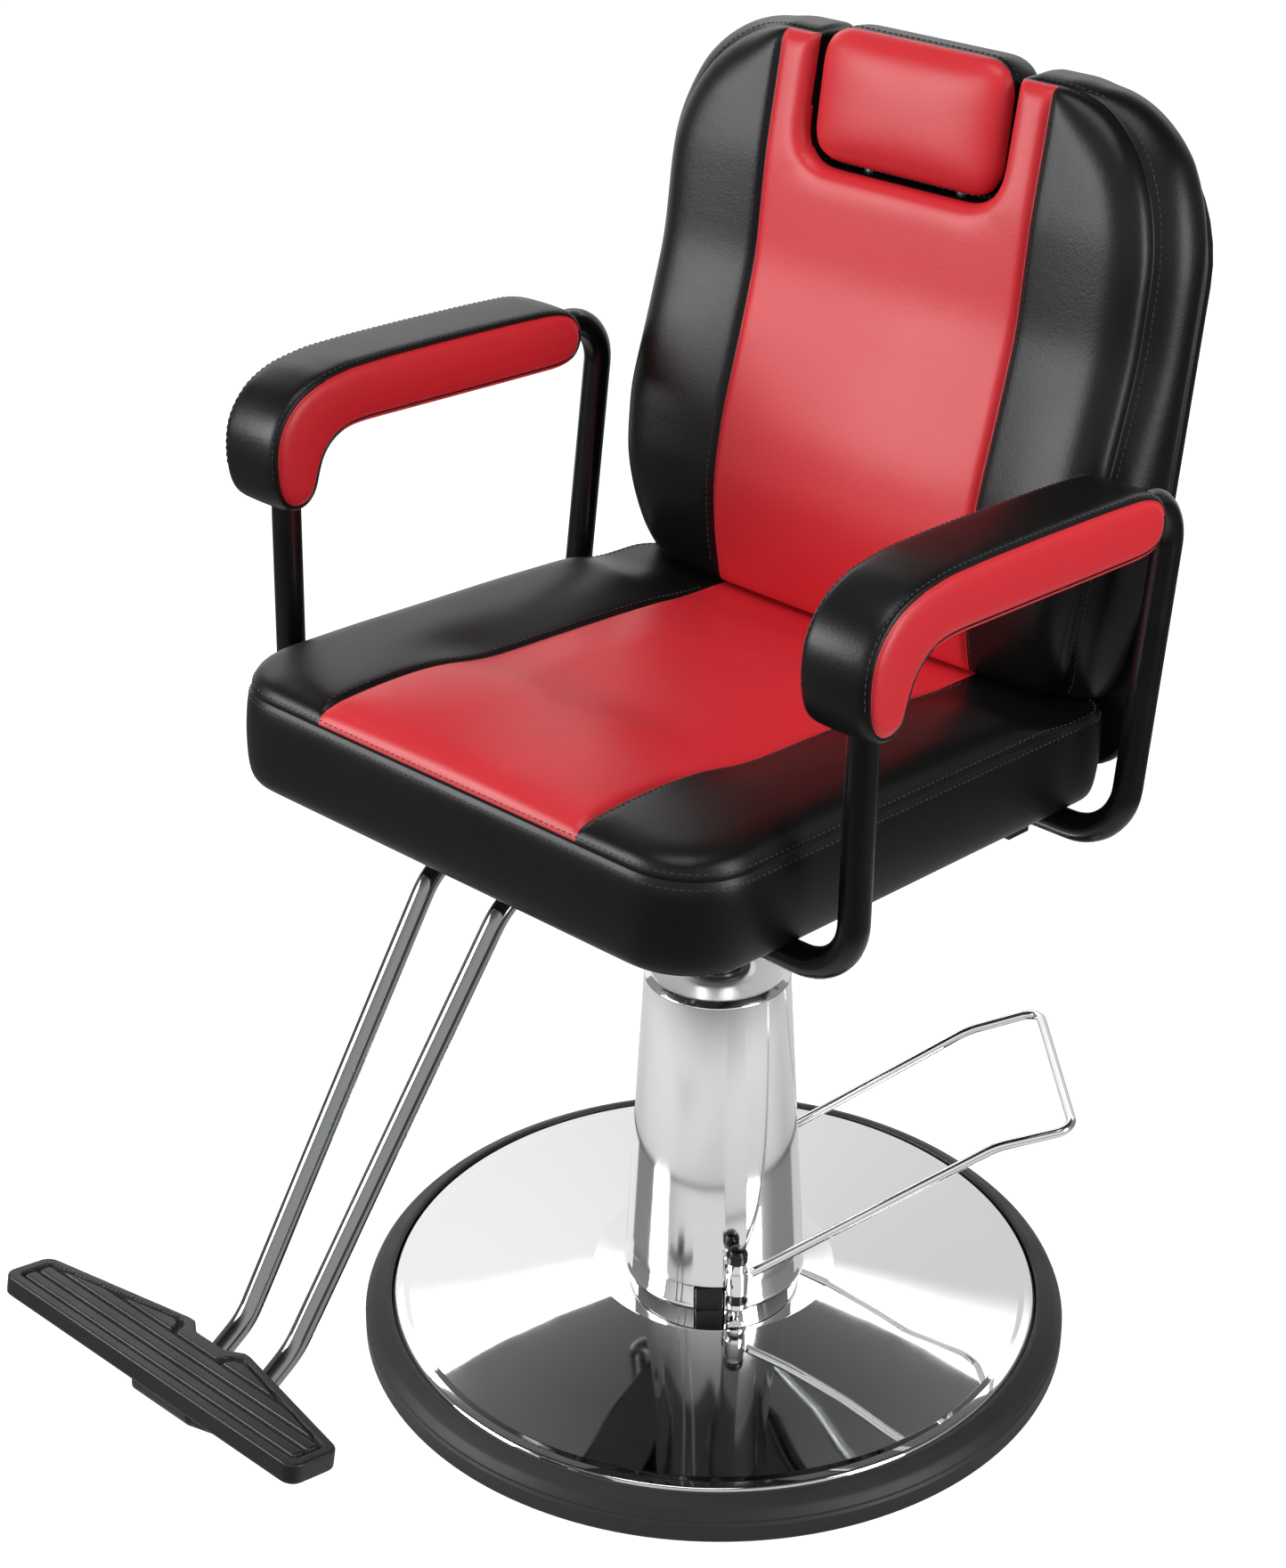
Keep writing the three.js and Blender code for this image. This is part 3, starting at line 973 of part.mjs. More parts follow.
function strut() {
  const rise = RECLINE_PIVOT.z - CROSSBAR_DROP - STRUT_ANCHOR.z;
  const run = RECLINE_PIVOT.y - STRUT_ANCHOR.y;
  const length = Math.hypot(run, rise);
  // Drawn along +Y from the anchor, then turned onto the line to the crossbar.
  const onStrut = (geometry) => geometry.rotateX(Math.atan2(rise, run))
    .translate(STRUT_X, STRUT_ANCHOR.y, STRUT_ANCHOR.z);
  const lengthwise = (radius, from, to) => rod(radius, to - from, 16).translate(0, (from + to) / 2, 0);
  const half = STRUT_EYE_WIDTH / 2;

  const anchorPin = PIN_RADIUS - 1;
  const anchorEye = anchorPin + RUNNING_GAP + STRUT_EYE_WALL;
  const neckEnd = STRUT_EAR_HALF + 4;
  const tube = join(crosswise(anchorEye, -half, half, 0, 0),
    lengthwise(STRUT_ROD_RADIUS, anchorEye - 1, neckEnd + 1),
    lengthwise(STRUT_RADIUS, neckEnd, STRUT_BODY_LENGTH));
  const pinBore = crosswise(anchorPin + RUNNING_GAP, -half - 20, half + 20, 0, 0);
  const rodBore = lengthwise(STRUT_ROD_RADIUS + RUNNING_GAP, neckEnd + 6, STRUT_BODY_LENGTH + 5);
  piece(seatUnit, 'strut_cylinder', onStrut(cut(tube, pinBore, rodBore)), BLACK_PAINT);

  const eyeHole = CROSSBAR_RADIUS + STRUT_OPEN_CLEARANCE;
  const eye = eyeHole + STRUT_EYE_WALL;
  const plunger = join(
    lengthwise(STRUT_ROD_RADIUS, STRUT_BODY_LENGTH - STRUT_ROD_INSIDE, length - eyeHole - 1),
    crosswise(eye, -half, half, length, 0));
  const eyeBore = crosswise(eyeHole, -half - 5, half + 5, length, 0);
  piece(seatUnit, 'strut_rod', onStrut(cut(plunger, eyeBore)), STEEL);

  const top = FRAME_TOP - SEAT_PLATE_THICKNESS - SEATED_GAP;
  const ear = half + SEATED_GAP * 2;
  const ears = [-1, 1].map((side) => box(
    [Math.min(side * ear, side * (ear + 4)), Math.max(side * ear, side * (ear + 4))],
    [STRUT_ANCHOR.y - STRUT_EAR_HALF, STRUT_ANCHOR.y + STRUT_EAR_HALF],
    [STRUT_ANCHOR.z - 10, top],
  ));
  const pad = box([-ear - 4, ear + 4], [STRUT_ANCHOR.y - STRUT_EAR_HALF, STRUT_ANCHOR.y + STRUT_EAR_HALF],
    [top - 4, top]);
  const pin = crosswise(anchorPin, -ear - 6, ear + 6, STRUT_ANCHOR.y, STRUT_ANCHOR.z);
  piece(seatUnit, 'strut_bracket', join(...ears, pad, pin).translate(STRUT_X, 0, 0), BLACK_PAINT);
}

function releaseLever() {
  const start = -(RAIL_OUTER + SEATED_GAP);
  const { y, z } = LEVER_PIVOT;
  const route = rounded([
    new THREE.Vector3(start, y, z),
    new THREE.Vector3(-LEVER_OUT, y, z),
    new THREE.Vector3(-LEVER_OUT, y - LEVER_LENGTH, z),
  ], [16], 4);
  piece(seatUnit, 'recline_lever', bar(route, LEVER_RADIUS, 10), BLACK_PAINT);
  const gripEnd = y - LEVER_LENGTH - 6;
  const grip = turned([
    [0, 0], [GRIP_RADIUS - 2, 0], [GRIP_RADIUS, 4],
    [GRIP_RADIUS, GRIP_LENGTH - 4], [GRIP_RADIUS - 2, GRIP_LENGTH], [0, GRIP_LENGTH],
  ], 16).rotateX(-Math.PI / 2).translate(-LEVER_OUT, gripEnd, z);
  const socket = bar(route, LEVER_RADIUS + SEATED_GAP, 10);
  piece(seatUnit, 'lever_grip', cut(grip, socket), BLACK_PLASTIC);
}

foot();
pump();
columnCover();
pedal();
lift();
seatFrame();
seat();
arms();
footrest();
back();
reclineHinge();
headrest();
strut();
releaseLever();

export default chair;
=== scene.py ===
"""A hydraulic barber chair in a white studio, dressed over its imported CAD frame.

All sizes in the classes are millimetres in the part's own frame: +Z up, the sitter faces -Y, and the
origin on the floor under the column. Everything above the column leans back with the seat.
"""

from __future__ import annotations

import logging
import math
from dataclasses import dataclass, field
from enum import Enum
from typing import Callable, Sequence

import bmesh
import bpy
import numpy as np
from mathutils import Matrix, Vector
from mathutils.bvhtree import BVHTree


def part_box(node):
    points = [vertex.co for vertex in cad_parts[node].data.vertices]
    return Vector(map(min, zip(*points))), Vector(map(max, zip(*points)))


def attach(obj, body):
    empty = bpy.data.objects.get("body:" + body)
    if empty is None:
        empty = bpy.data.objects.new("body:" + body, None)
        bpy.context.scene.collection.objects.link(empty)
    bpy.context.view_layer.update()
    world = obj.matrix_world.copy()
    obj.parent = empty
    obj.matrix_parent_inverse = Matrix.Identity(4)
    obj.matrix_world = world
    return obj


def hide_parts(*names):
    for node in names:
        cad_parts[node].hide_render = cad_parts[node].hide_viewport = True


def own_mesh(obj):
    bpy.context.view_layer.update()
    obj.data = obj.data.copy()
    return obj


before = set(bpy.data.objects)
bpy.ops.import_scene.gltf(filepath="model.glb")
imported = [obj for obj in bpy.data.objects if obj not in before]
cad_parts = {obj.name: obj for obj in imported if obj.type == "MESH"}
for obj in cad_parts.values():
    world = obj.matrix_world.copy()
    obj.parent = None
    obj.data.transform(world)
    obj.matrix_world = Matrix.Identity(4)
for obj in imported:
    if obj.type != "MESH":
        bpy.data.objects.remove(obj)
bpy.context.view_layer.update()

logging.basicConfig(level=logging.INFO, format="%(message)s")
LOG = logging.getLogger("barber_chair")

MM = 0.001
SEAT_DEGREES = 3.6  # how far the seat unit leans back on the ram
BACK_DEGREES = 4.92  # how far the back leans beyond that
PEDAL_DEGREES = 45.4  # which way the pedal points, from +X
WAVE_RADIANS = 20  # how far a wave texture turns over one unit, at a scale of 1

Point2 = tuple[float, float]
Point3 = tuple[float, float, float]
Piece = bpy.types.Object
Tree = bpy.types.NodeTree
Node = bpy.types.Node
Socket = bpy.types.NodeSocket


def leaning(degrees: float, y: float, z: float) -> Matrix:
    """Leans things back about the line across the chair at a y and a z in millimetres."""
    turn = Matrix.Rotation(math.radians(-degrees), 4, "X")
    return Matrix.Translation((0, y * MM, z * MM)) @ turn @ Matrix.Translation((0, -y * MM, -z * MM))


SEAT_LEAN = leaning(SEAT_DEGREES, 0, 530)
BACK_LEAN = (SEAT_LEAN @ Matrix.Translation((0, 0.132, 0.600))
             @ Matrix.Rotation(math.radians(-BACK_DEGREES), 4, "X"))
PEDAL_TURN = Matrix.Rotation(math.radians(PEDAL_DEGREES), 4, "Z")


class Body(Enum):
    """The CAD bodies that pieces ride on."""

    BASE = "base"
    PEDAL = "pedal"
    LIFT = "lift"
    SEAT = "seat"
    LEVER = "lever"
    BACK = "back"
    HEADREST = "headrest"


class Side(Enum):
    """The sitter's sides, with the sign of X on each."""

    LEFT = 1
    RIGHT = -1

    @property
    def label(self) -> str:
        """How the side is written in names."""
        return self.name.lower()


# ---------- finishes


def linear(code: str) -> tuple[float, float, float, float]:
    """Turns an sRGB hex colour into linear RGBA.

    Args:
        code: the colour as "#rrggbb".

    Returns:
        Linear red, green, blue and an alpha of 1.
    """
    parts = [int(code[i:i + 2], 16) / 255 for i in (1, 3, 5)]
    return (*[c / 12.92 if c <= 0.04045 else ((c + 0.055) / 1.055) ** 2.4 for c in parts], 1.0)


def add_node(
    tree: Tree,
    kind: str,
    settings: dict[str, object] | None = None,
    inputs: dict[str | int, object] | None = None,
) -> Node:
    """Adds a node, sets its properties, and sets or links its inputs.

    Args:
        tree: the node tree it goes into.
        kind: the node's Blender type name.
        settings: properties of the node by name.
        inputs: input sockets by name or number, each with a value or another node's output.

    Returns:
        The new node.
    """
    made = tree.nodes.new(kind)
    for name, value in (settings or {}).items():
        setattr(made, name, value)
    for key, value in (inputs or {}).items():
        if isinstance(value, Socket):
            tree.links.new(value, made.inputs[key])
        else:
            made.inputs[key].default_value = value
    return made


def noise(tree: Tree, place: Socket, patch_mm: float, detail: float) -> Socket:
    """Adds a cloudy pattern.

    Args:
        tree: the nodes it goes into.
        place: the coordinates.
        patch_mm: the size of a cloud in millimetres.
        detail: how many finer layers it has.

    Returns:
        The pattern's value.
    """
    made = add_node(tree, "ShaderNodeTexNoise", None, {
        "Vector": place, "Scale": 1000 / patch_mm, "Detail": detail,
    })
    return made.outputs["Fac"]


def remap(tree: Tree, value: Socket, span: Point2, result: Point2, course: str = "LINEAR") -> Socket:
    """Maps one span of values onto another.

    Args:
        tree: the nodes it goes into.
        value: what is mapped.
        span: the two values it starts from.
        result: what these two turn into.
        course: how it runs between them.

    Returns:
        The mapped value.
    """
    made = add_node(tree, "ShaderNodeMapRange", {"interpolation_type": course}, {
        "Value": value, "From Min": span[0], "From Max": span[1], "To Min": result[0], "To Max": result[1],
    })
    return made.outputs["Result"]


def blend(tree: Tree, share: Socket, first: str, second: str) -> Socket:
    """Mixes two hex colours by a pattern and returns the mixture."""
    made = add_node(tree, "ShaderNodeMix", {"data_type": "RGBA"}, {
        0: share, 6: linear(first), 7: linear(second),
    })
    return made.outputs[2]


@dataclass(frozen=True)
class Finish:
    """What every finish shares: a name, a colour and how polished the surface is."""

    name: str
    colour: str
    roughness: float
    slot: str

    def material(self) -> bpy.types.Material:
        """Returns this finish's material, making it the first time."""
        found = bpy.data.materials.get(self.name)
        if found:
            return found
        made = bpy.data.materials.new(self.name)
        made.use_nodes = True
        tree = made.node_tree
        shader = tree.nodes["Principled BSDF"]
        shader.inputs["Base Color"].default_value = linear(self.colour)
        shader.inputs["Roughness"].default_value = self.roughness
        place = add_node(tree, "ShaderNodeTexCoord").outputs["Object"]
        self.dress(tree, shader, place)
        return made

    def dress(self, tree: Tree, shader: Node, place: Socket) -> None:
        """Adds this finish's own nodes."""

    def mottle(
        self, tree: Tree, shader: Node, place: Socket, patch: float, swing: float, other: str,
    ) -> None:
        """Lets roughness and colour drift from patch to patch.

        Args:
            tree: the material's nodes.
            shader: the shader that is fed.
            place: the coordinates.
            patch: size of a patch in millimetres.
            swing: how far the roughness goes each way.
            other: the second colour, in hex.
        """
        clouds = noise(tree, place, patch, 4.0)
        rough = remap(tree, clouds, (0.3, 0.7), (self.roughness - swing, self.roughness + swing))
        tree.links.new(rough, shader.inputs["Roughness"])
        tree.links.new(blend(tree, clouds, self.colour, other), shader.inputs["Base Color"])


def bump(tree: Tree, shader: Node, height: Socket, depth_mm: float, strength: float) -> None:
    """Feeds a height pattern into a shader's normal.

    Args:
        tree: the material's nodes.
        shader: the shader that is fed.
        height: the pattern.
        depth_mm: how deep it goes, in millimetres.
        strength: how much of it shows, from 0 to 1.
    """
    made = add_node(tree, "ShaderNodeBump", None, {
        "Height": height, "Distance": depth_mm * MM, "Strength": strength,
    })
    tree.links.new(made.outputs["Normal"], shader.inputs["Normal"])


@dataclass(frozen=True)
class GrainedVinyl(Finish):
    """Calendered upholstery vinyl with an embossed leather grain: a soft broad sheen over fine pebbles."""

    shade: str = "#000000"
    pebble_mm: float = 2.2  # the real grain is about 1 mm, too fine to show, so it is drawn coarser
    crease_mm: float = 9.0
    gloss: float = 0.35

    def dress(self, tree: Tree, shader: Node, place: Socket) -> None:
        """Adds the pebbled grain, its valleys and the drift of the sheen."""
        self.mottle(tree, shader, place, 70.0, 0.014, self.shade)
        pebbles = add_node(tree, "ShaderNodeTexVoronoi", {"feature": "SMOOTH_F1"}, {
            "Vector": place, "Scale": 1000 / self.pebble_mm, "Smoothness": 0.6, "Randomness": 1.0,
        })
        height = add_node(tree, "ShaderNodeMath", {"operation": "MULTIPLY_ADD"}, {
            0: pebbles.outputs["Distance"], 1: 0.7, 2: noise(tree, place, self.crease_mm, 5.0),
        })
        bump(tree, shader, height.outputs["Value"], 0.35, 0.22)
        shader.inputs["Specular IOR Level"].default_value = self.gloss


@dataclass(frozen=True)
class MirrorChrome(Finish):
    """Bright chrome plate on polished steel: a mirror, with the faintest wiping haze."""

    haze_mm: float = 60.0

    def dress(self, tree: Tree, shader: Node, place: Socket) -> None:
        """Adds the haze."""
        shader.inputs["Metallic"].default_value = 1.0
        haze = noise(tree, place, self.haze_mm, 6.0)
        rough = remap(tree, haze, (0.4, 0.8), (self.roughness, self.roughness + 0.035))
        tree.links.new(rough, shader.inputs["Roughness"])


@dataclass(frozen=True)
class PowderCoat(Finish):
    """Gloss black powder coat on steel tube: a clear reflection with a slight orange peel."""

    peel_mm: float = 3.0

    def dress(self, tree: Tree, shader: Node, place: Socket) -> None:
        """Adds the orange peel."""
        self.mottle(tree, shader, place, 25.0, 0.03, "#0d0d0e")
        bump(tree, shader, noise(tree, place, self.peel_mm, 1.0), 0.06, 0.25)
        shader.inputs["Specular IOR Level"].default_value = 0.3
        shader.inputs["Coat Weight"].default_value = 0.12
        shader.inputs["Coat Roughness"].default_value = 0.12


@dataclass(frozen=True)
class MouldedSkin(Finish):
    """A moulded rubber or plastic skin: matt, with the fine spark-eroded grain of its mould."""

    other: str = "#202020"
    grain_mm: float = 1.6

    def dress(self, tree: Tree, shader: Node, place: Socket) -> None:
        """Adds the mould's grain and some scuffed patches."""
        self.mottle(tree, shader, place, 45.0, 0.06, self.other)
        bump(tree, shader, noise(tree, place, self.grain_mm, 3.0), 0.12, 0.3)


@dataclass(frozen=True)
class TurnedSteel(Finish):
    """Machined and zinc-plated steel: a satin metal with fine tool marks round the bar."""

    mark_mm: float = 1.2

    def dress(self, tree: Tree, shader: Node, place: Socket) -> None:
        """Adds the tool marks."""
        shader.inputs["Metallic"].default_value = 1.0
        self.mottle(tree, shader, place, 18.0, 0.07, "#a9adaf")
        marks = add_node(tree, "ShaderNodeTexWave", {"bands_direction": "Z"}, {
            "Vector": place, "Scale": 1000 / self.mark_mm / WAVE_RADIANS, "Distortion": 1.5, "Detail": 2.0,
        })
        bump(tree, shader, marks.outputs["Fac"], 0.02, 0.3)


@dataclass(frozen=True)
class RoughCasting(Finish):
    """Painted sand casting: dull, with a pitted skin."""

    pit_mm: float = 2.5

    def dress(self, tree: Tree, shader: Node, place: Socket) -> None:
        """Adds the pits."""
        self.mottle(tree, shader, place, 30.0, 0.08, "#3a3d41")
        bump(tree, shader, noise(tree, place, self.pit_mm, 6.0), 0.5, 0.5)


@dataclass(frozen=True)
class PlywoodSheet(Finish):
    """Black-stained birch plywood: long grain on the face, with paler veins."""

    vein_mm: float = 9.0

    def dress(self, tree: Tree, shader: Node, place: Socket) -> None:
        """Adds the grain, stretched along the sheet."""
        drawn = add_node(tree, "ShaderNodeMapping", None, {"Vector": place, "Scale": (1.0, 0.12, 1.0)})
        veins = add_node(tree, "ShaderNodeTexNoise", None, {
            "Vector": drawn.outputs["Vector"], "Scale": 1000 / self.vein_mm, "Detail": 6.0, "Distortion": 0.8,
        })
        tint = blend(tree, veins.outputs["Fac"], self.colour, "#2a241e")
        tree.links.new(tint, shader.inputs["Base Color"])
        bump(tree, shader, veins.outputs["Fac"], 0.1, 0.3)


@dataclass(frozen=True)
class SewingThread(Finish):
    """Bonded nylon thread: a dull twisted cord."""

    twist_mm: float = 0.8

    def dress(self, tree: Tree, shader: Node, place: Socket) -> None:
        """Adds the twist."""
        twist = add_node(tree, "ShaderNodeTexWave", {"bands_direction": "DIAGONAL"}, {
            "Vector": place, "Scale": 1000 / self.twist_mm / WAVE_RADIANS, "Distortion": 0.4,
        })
        bump(tree, shader, twist.outputs["Fac"], 0.1, 0.5)
        shader.inputs["Sheen Weight"].default_value = 0.3


RED_VINYL = GrainedVinyl("grained_red_vinyl", "#d52c35", 0.41, "red_vinyl", shade="#cb252e", gloss=0.42)
BLACK_VINYL = GrainedVinyl("grained_black_vinyl", "#080808", 0.36, "black_vinyl", shade="#0e0e0e", gloss=0.27)
CHROME = MirrorChrome("bright_chrome", "#eff0f0", 0.03, "chrome")
SATIN_CHROME = MirrorChrome("satin_chrome", "#eff0f0", 0.10, "chrome")
CAP_CHROME = MirrorChrome("brushed_chrome", "#f2f2f2", 0.42, "chrome")
# a darker copy of the chrome for the footrest tubes: its dark colour is painted shade, standing in for the
# dark reflections the tubes show
SHADED_TUBE_CHROME = MirrorChrome("chrome_with_painted_shade", "#8f9193", 0.07, "chrome")
ENAMEL = PowderCoat("black_powder_coat", "#060606", 0.27, "black_gloss")
RUBBER = MouldedSkin("moulded_rubber", "#161617", 0.50, "rubber", other="#1d1d1e")
PLASTIC = MouldedSkin("moulded_plastic", "#121213", 0.42, "black_plastic", other="#18181a")
# rougher plastic for the floor between the footplate's ribs; its darker colour is painted shade in the
# grooves
SHADED_GROOVE_PLASTIC = MouldedSkin("dull_moulded_plastic", "#040404", 0.72, "black_plastic", other="#070707")
STEEL = TurnedSteel("turned_steel", "#b7babc", 0.30, "steel")
CASTING = RoughCasting("painted_casting", "#2a2c2f", 0.6, "iron")
PLYWOOD = PlywoodSheet("stained_plywood", "#100e0c", 0.62, "plywood")
BLACK_THREAD = SewingThread("black_thread", "#0c0c0d", 0.6, "black_vinyl")


# ---------- workshop


def select_only(*objects: Piece) -> None:
    """Deselects everything, then selects these objects and makes the first one active."""
    bpy.ops.object.select_all(action="DESELECT")
    for item in objects:
        item.select_set(True)
    bpy.context.view_layer.objects.active = objects[0]


def settle(piece: Piece, place: Matrix) -> None:
    """Moves a piece's mesh to its place and leaves its object at the origin.

    Args:
        piece: the object.
        place: where its own axes go.
    """
    piece.data.transform(place @ piece.matrix_world)
    piece.matrix_world = Matrix.Identity(4)
    if place.determinant() < 0:
        face_out(piece)
    piece.data.update()


def face_out(piece: Piece) -> None:
    """Merges doubled corners and turns every face outwards.

    Args:
        piece: the object.
    """
    select_only(piece)
    bpy.ops.object.mode_set(mode="EDIT")
    bpy.ops.mesh.select_all(action="SELECT")
    bpy.ops.mesh.remove_doubles(threshold=2e-6)
    bpy.ops.mesh.normals_make_consistent(inside=False)
    bpy.ops.object.mode_set(mode="OBJECT")


def apply_modifier(piece: Piece, kind: str, **settings: object) -> None:
    """Adds a modifier and applies it at once.

    Args:
        piece: the object.
        kind: the modifier's Blender type.
        settings: its properties.
    """
    modifier = piece.modifiers.new(kind.lower(), kind)
    for name, value in settings.items():
        setattr(modifier, name, value)
    select_only(piece)
    bpy.ops.object.modifier_apply(modifier=modifier.name)


def soften(piece: Piece, width_mm: float, segments: int = 3, angle: float = 35.0) -> None:
    """Rounds a piece's sharp edges with a bevel.

    Args:
        piece: the object.
        width_mm: how wide the rounding is.
        segments: how many faces it has.
        angle: edges sharper than this, in degrees, are rounded.
    """
    apply_modifier(piece, "BEVEL", width=width_mm * MM, segments=segments, limit_method="ANGLE",
                   angle_limit=math.radians(angle), harden_normals=False)


def smooth(piece: Piece, angle: float = 40.0) -> None:
    """Shades a piece smooth, with edges sharper than an angle in degrees left crisp."""
    select_only(piece)
    bpy.ops.object.shade_smooth_by_angle(angle=math.radians(angle))


def carve(piece: Piece, *cutters: Piece) -> None:
    """Cuts each cutter's shape out of a piece and throws the cutters away."""
    for cutter in cutters:
        apply_modifier(piece, "BOOLEAN", operation="DIFFERENCE", object=cutter, solver="EXACT")
        bpy.data.objects.remove(cutter, do_unlink=True)


def inset(piece: Piece, facing: Point3, width_mm: float, depth_mm: float) -> None:
    """Sets a smaller face into each flat face that looks one way.

    Args:
        piece: the object.
        facing: the way that those faces look.
        width_mm: how far inside the border the smaller face starts.
        depth_mm: how deep it is sunk.
    """
    select_only(piece)
    bpy.ops.object.mode_set(mode="EDIT")
    grid = bmesh.from_edit_mesh(piece.data)
    for face in grid.faces:
        face.select = face.normal.dot(Vector(facing)) > 0.9
    bmesh.update_edit_mesh(piece.data)
    bpy.ops.mesh.inset(thickness=width_mm * MM, depth=-depth_mm * MM)
    bpy.ops.object.mode_set(mode="OBJECT")


def arc(before: Vector, here: Vector, after: Vector, radius: float, steps: int) -> list[Vector]:
    """Rounds one corner of a line; a corner that is almost straight stays as it is.

    Args:
        before: the corner before it.
        here: the corner.
        after: the corner after it.
        radius: the radius of the arc.
        steps: faces to the arc.

    Returns:
        The points of the arc.
    """
    back = (before - here).normalized()
    ahead = (after - here).normalized()
    half = back.angle(ahead) / 2
    if half > math.pi / 2 - 0.02:
        return [here]
    centre = here + (back + ahead).normalized() * (radius / math.sin(half))
    start = here + back * (radius / math.tan(half)) - centre
    end = here + ahead * (radius / math.tan(half)) - centre
    sweep = start.angle(end)
    shares = [sweep * step / steps for step in range(steps + 1)]
    return [
        centre + (start * math.sin(sweep - share) + end * math.sin(share)) / math.sin(sweep)
        for share in shares
    ]


def fillet(
    points: Sequence[Point2],
    radii: Sequence[float],
    steps: int = 6,
    closed: bool = False,
) -> list[Point2]:
    """Rounds the corners of a line or an outline.

    Args:
        points: the corners.
        radii: the radius at each corner, 0 for a sharp one; a line's two ends have none.
        steps: faces to an arc.
        closed: True for an outline, False for a line.

    Returns:
        The points of the rounded line.
    """
    out: list[Point2] = []
    count = len(points)
    for i, point in enumerate(points):
        ends = not closed and i in (0, count - 1)
        if ends or radii[i] <= 0:
            out.append(point)
            continue
        after = points[(i + 1) % count]
        curve = arc(Vector(points[i - 1]), Vector(point), Vector(after), radii[i], steps)
        out.extend((spot.x, spot.y) for spot in curve)
    return out


def bent_route(corners: Sequence[Point3], bends: Sequence[float], steps: int = 12) -> list[Vector]:
    """Rounds the inner corners of a bent bar's centre line.

    Args:
        corners: its corners in millimetres.
        bends: the bend radius at each inner corner.
        steps: stations to a bend.

    Returns:
        The stations along the bar.
    """
    line = [Vector(corner) for corner in corners]
    route = [line[0]]
    for before, here, after, bend in zip(line, line[1:], line[2:], bends):
        route.extend(arc(before, here, after, bend, steps))
    route.append(line[-1])
    return route


def spun(name: str, profile: Sequence[Point2], steps: int = 128) -> Piece:
    """Turns a closed profile about the Z axis, as a metal spinner or a lathe does.

    Args:
        name: the piece's name.
        profile: (radius, height) points in millimetres, the first repeated at the end.
        steps: faces round the axis.

    Returns:
        The turned object.
    """
    bpy.ops.mesh.primitive_plane_add(size=0.001)
    piece = bpy.context.object
    piece.name = name
    bpy.ops.object.mode_set(mode="EDIT")
    bpy.ops.mesh.merge(type="CENTER")
    bpy.ops.transform.translate(value=(profile[0][0] * MM, 0, profile[0][1] * MM))
    for before, after in zip(profile, profile[1:]):
        move = ((after[0] - before[0]) * MM, 0, (after[1] - before[1]) * MM)
        bpy.ops.mesh.extrude_region_move(TRANSFORM_OT_translate={"value": move})
    bpy.ops.mesh.select_all(action="SELECT")
    bpy.ops.mesh.spin(steps=steps, angle=2 * math.pi, center=(0, 0, 0), axis=(0, 0, 1))
    bpy.ops.object.mode_set(mode="OBJECT")
    face_out(piece)
    return piece


def swept(name: str, route: Sequence[Vector], radius: float, sides: int = 24) -> Piece:
    """Bends a round bar along a route.

    Args:
        name: the piece's name.
        route: stations in millimetres.
        radius: the bar's radius in millimetres.
        sides: faces round the bar.

    Returns:
        The bar as a closed mesh.
    """
    bpy.ops.curve.primitive_bezier_curve_add()
    piece = bpy.context.object
    piece.name = name
    piece.data.splines.clear()
    spline = piece.data.splines.new("POLY")
    spline.points.add(len(route) - 1)
    for point, station in zip(spline.points, route):
        point.co = (*(station * MM), 1.0)
    piece.data.dimensions = "3D"
    piece.data.bevel_depth = radius * MM
    piece.data.bevel_resolution = sides // 4
    piece.data.use_fill_caps = True
    bpy.ops.object.convert(target="MESH")
    piece = bpy.context.object
    face_out(piece)
    smooth(piece, 50)
    return piece


def plate(name: str, outline: Sequence[Point2], bottom: float, top: float) -> Piece:
    """Cuts a flat plate to an outline, from a disc whose corners are moved and then drawn up.

    Args:
        name: the piece's name.
        outline: (x, y) points in millimetres, in order.
        bottom: the height of its underside.
        top: the height of its upper side.

    Returns:
        The plate.
    """
    bpy.ops.mesh.primitive_circle_add(vertices=len(outline), radius=0.1, fill_type="NGON")
    piece = bpy.context.object
    piece.name = name
    for vertex, (x, y) in zip(piece.data.vertices, outline):
        vertex.co = (x * MM, y * MM, bottom * MM)
    bpy.ops.object.mode_set(mode="EDIT")
    bpy.ops.mesh.select_all(action="SELECT")
    bpy.ops.mesh.extrude_region_move(TRANSFORM_OT_translate={"value": (0, 0, (top - bottom) * MM)})
    bpy.ops.object.mode_set(mode="OBJECT")
    face_out(piece)
    return piece


def rectangle(low: Sequence[float], high: Sequence[float]) -> list[Point2]:
    """The four corners of an upright rectangle between two of them, anticlockwise."""
    return [(low[0], low[1]), (high[0], low[1]), (high[0], high[1]), (low[0], high[1])]


def block(name: str, low: Point3, high: Point3) -> Piece:
    """Saws a square block between two corners given in millimetres."""
    return plate(name, rectangle(low, high), low[2], high[2])


def meshed(name: str, places: Sequence[Sequence[float]], faces: Sequence[Sequence[int]]) -> Piece:
    """Makes an object out of corners in metres and the faces between them.

    Args:
        name: the object's name.
        places: the corners.
        faces: the numbers of each face's corners.

    Returns:
        The object, which is in the scene.
    """
    mesh = bpy.data.meshes.new(name)
    mesh.from_pydata(places, [], faces)
    piece = bpy.data.objects.new(name, mesh)
    bpy.context.scene.collection.objects.link(piece)
    return piece


def dress(piece: Piece, finish: Finish, body: Body, *nodes: str) -> None:
    """Gives a piece its finish, hands it to its body and lets it stand for CAD nodes.

    Args:
        piece: the object.
        finish: its finish.
        body: the body that it rides on.
        nodes: the CAD nodes that it replaces.
    """
    piece.data.materials.clear()
    piece.data.materials.append(finish.material())
    hand_over(piece, finish.slot, body, *nodes)


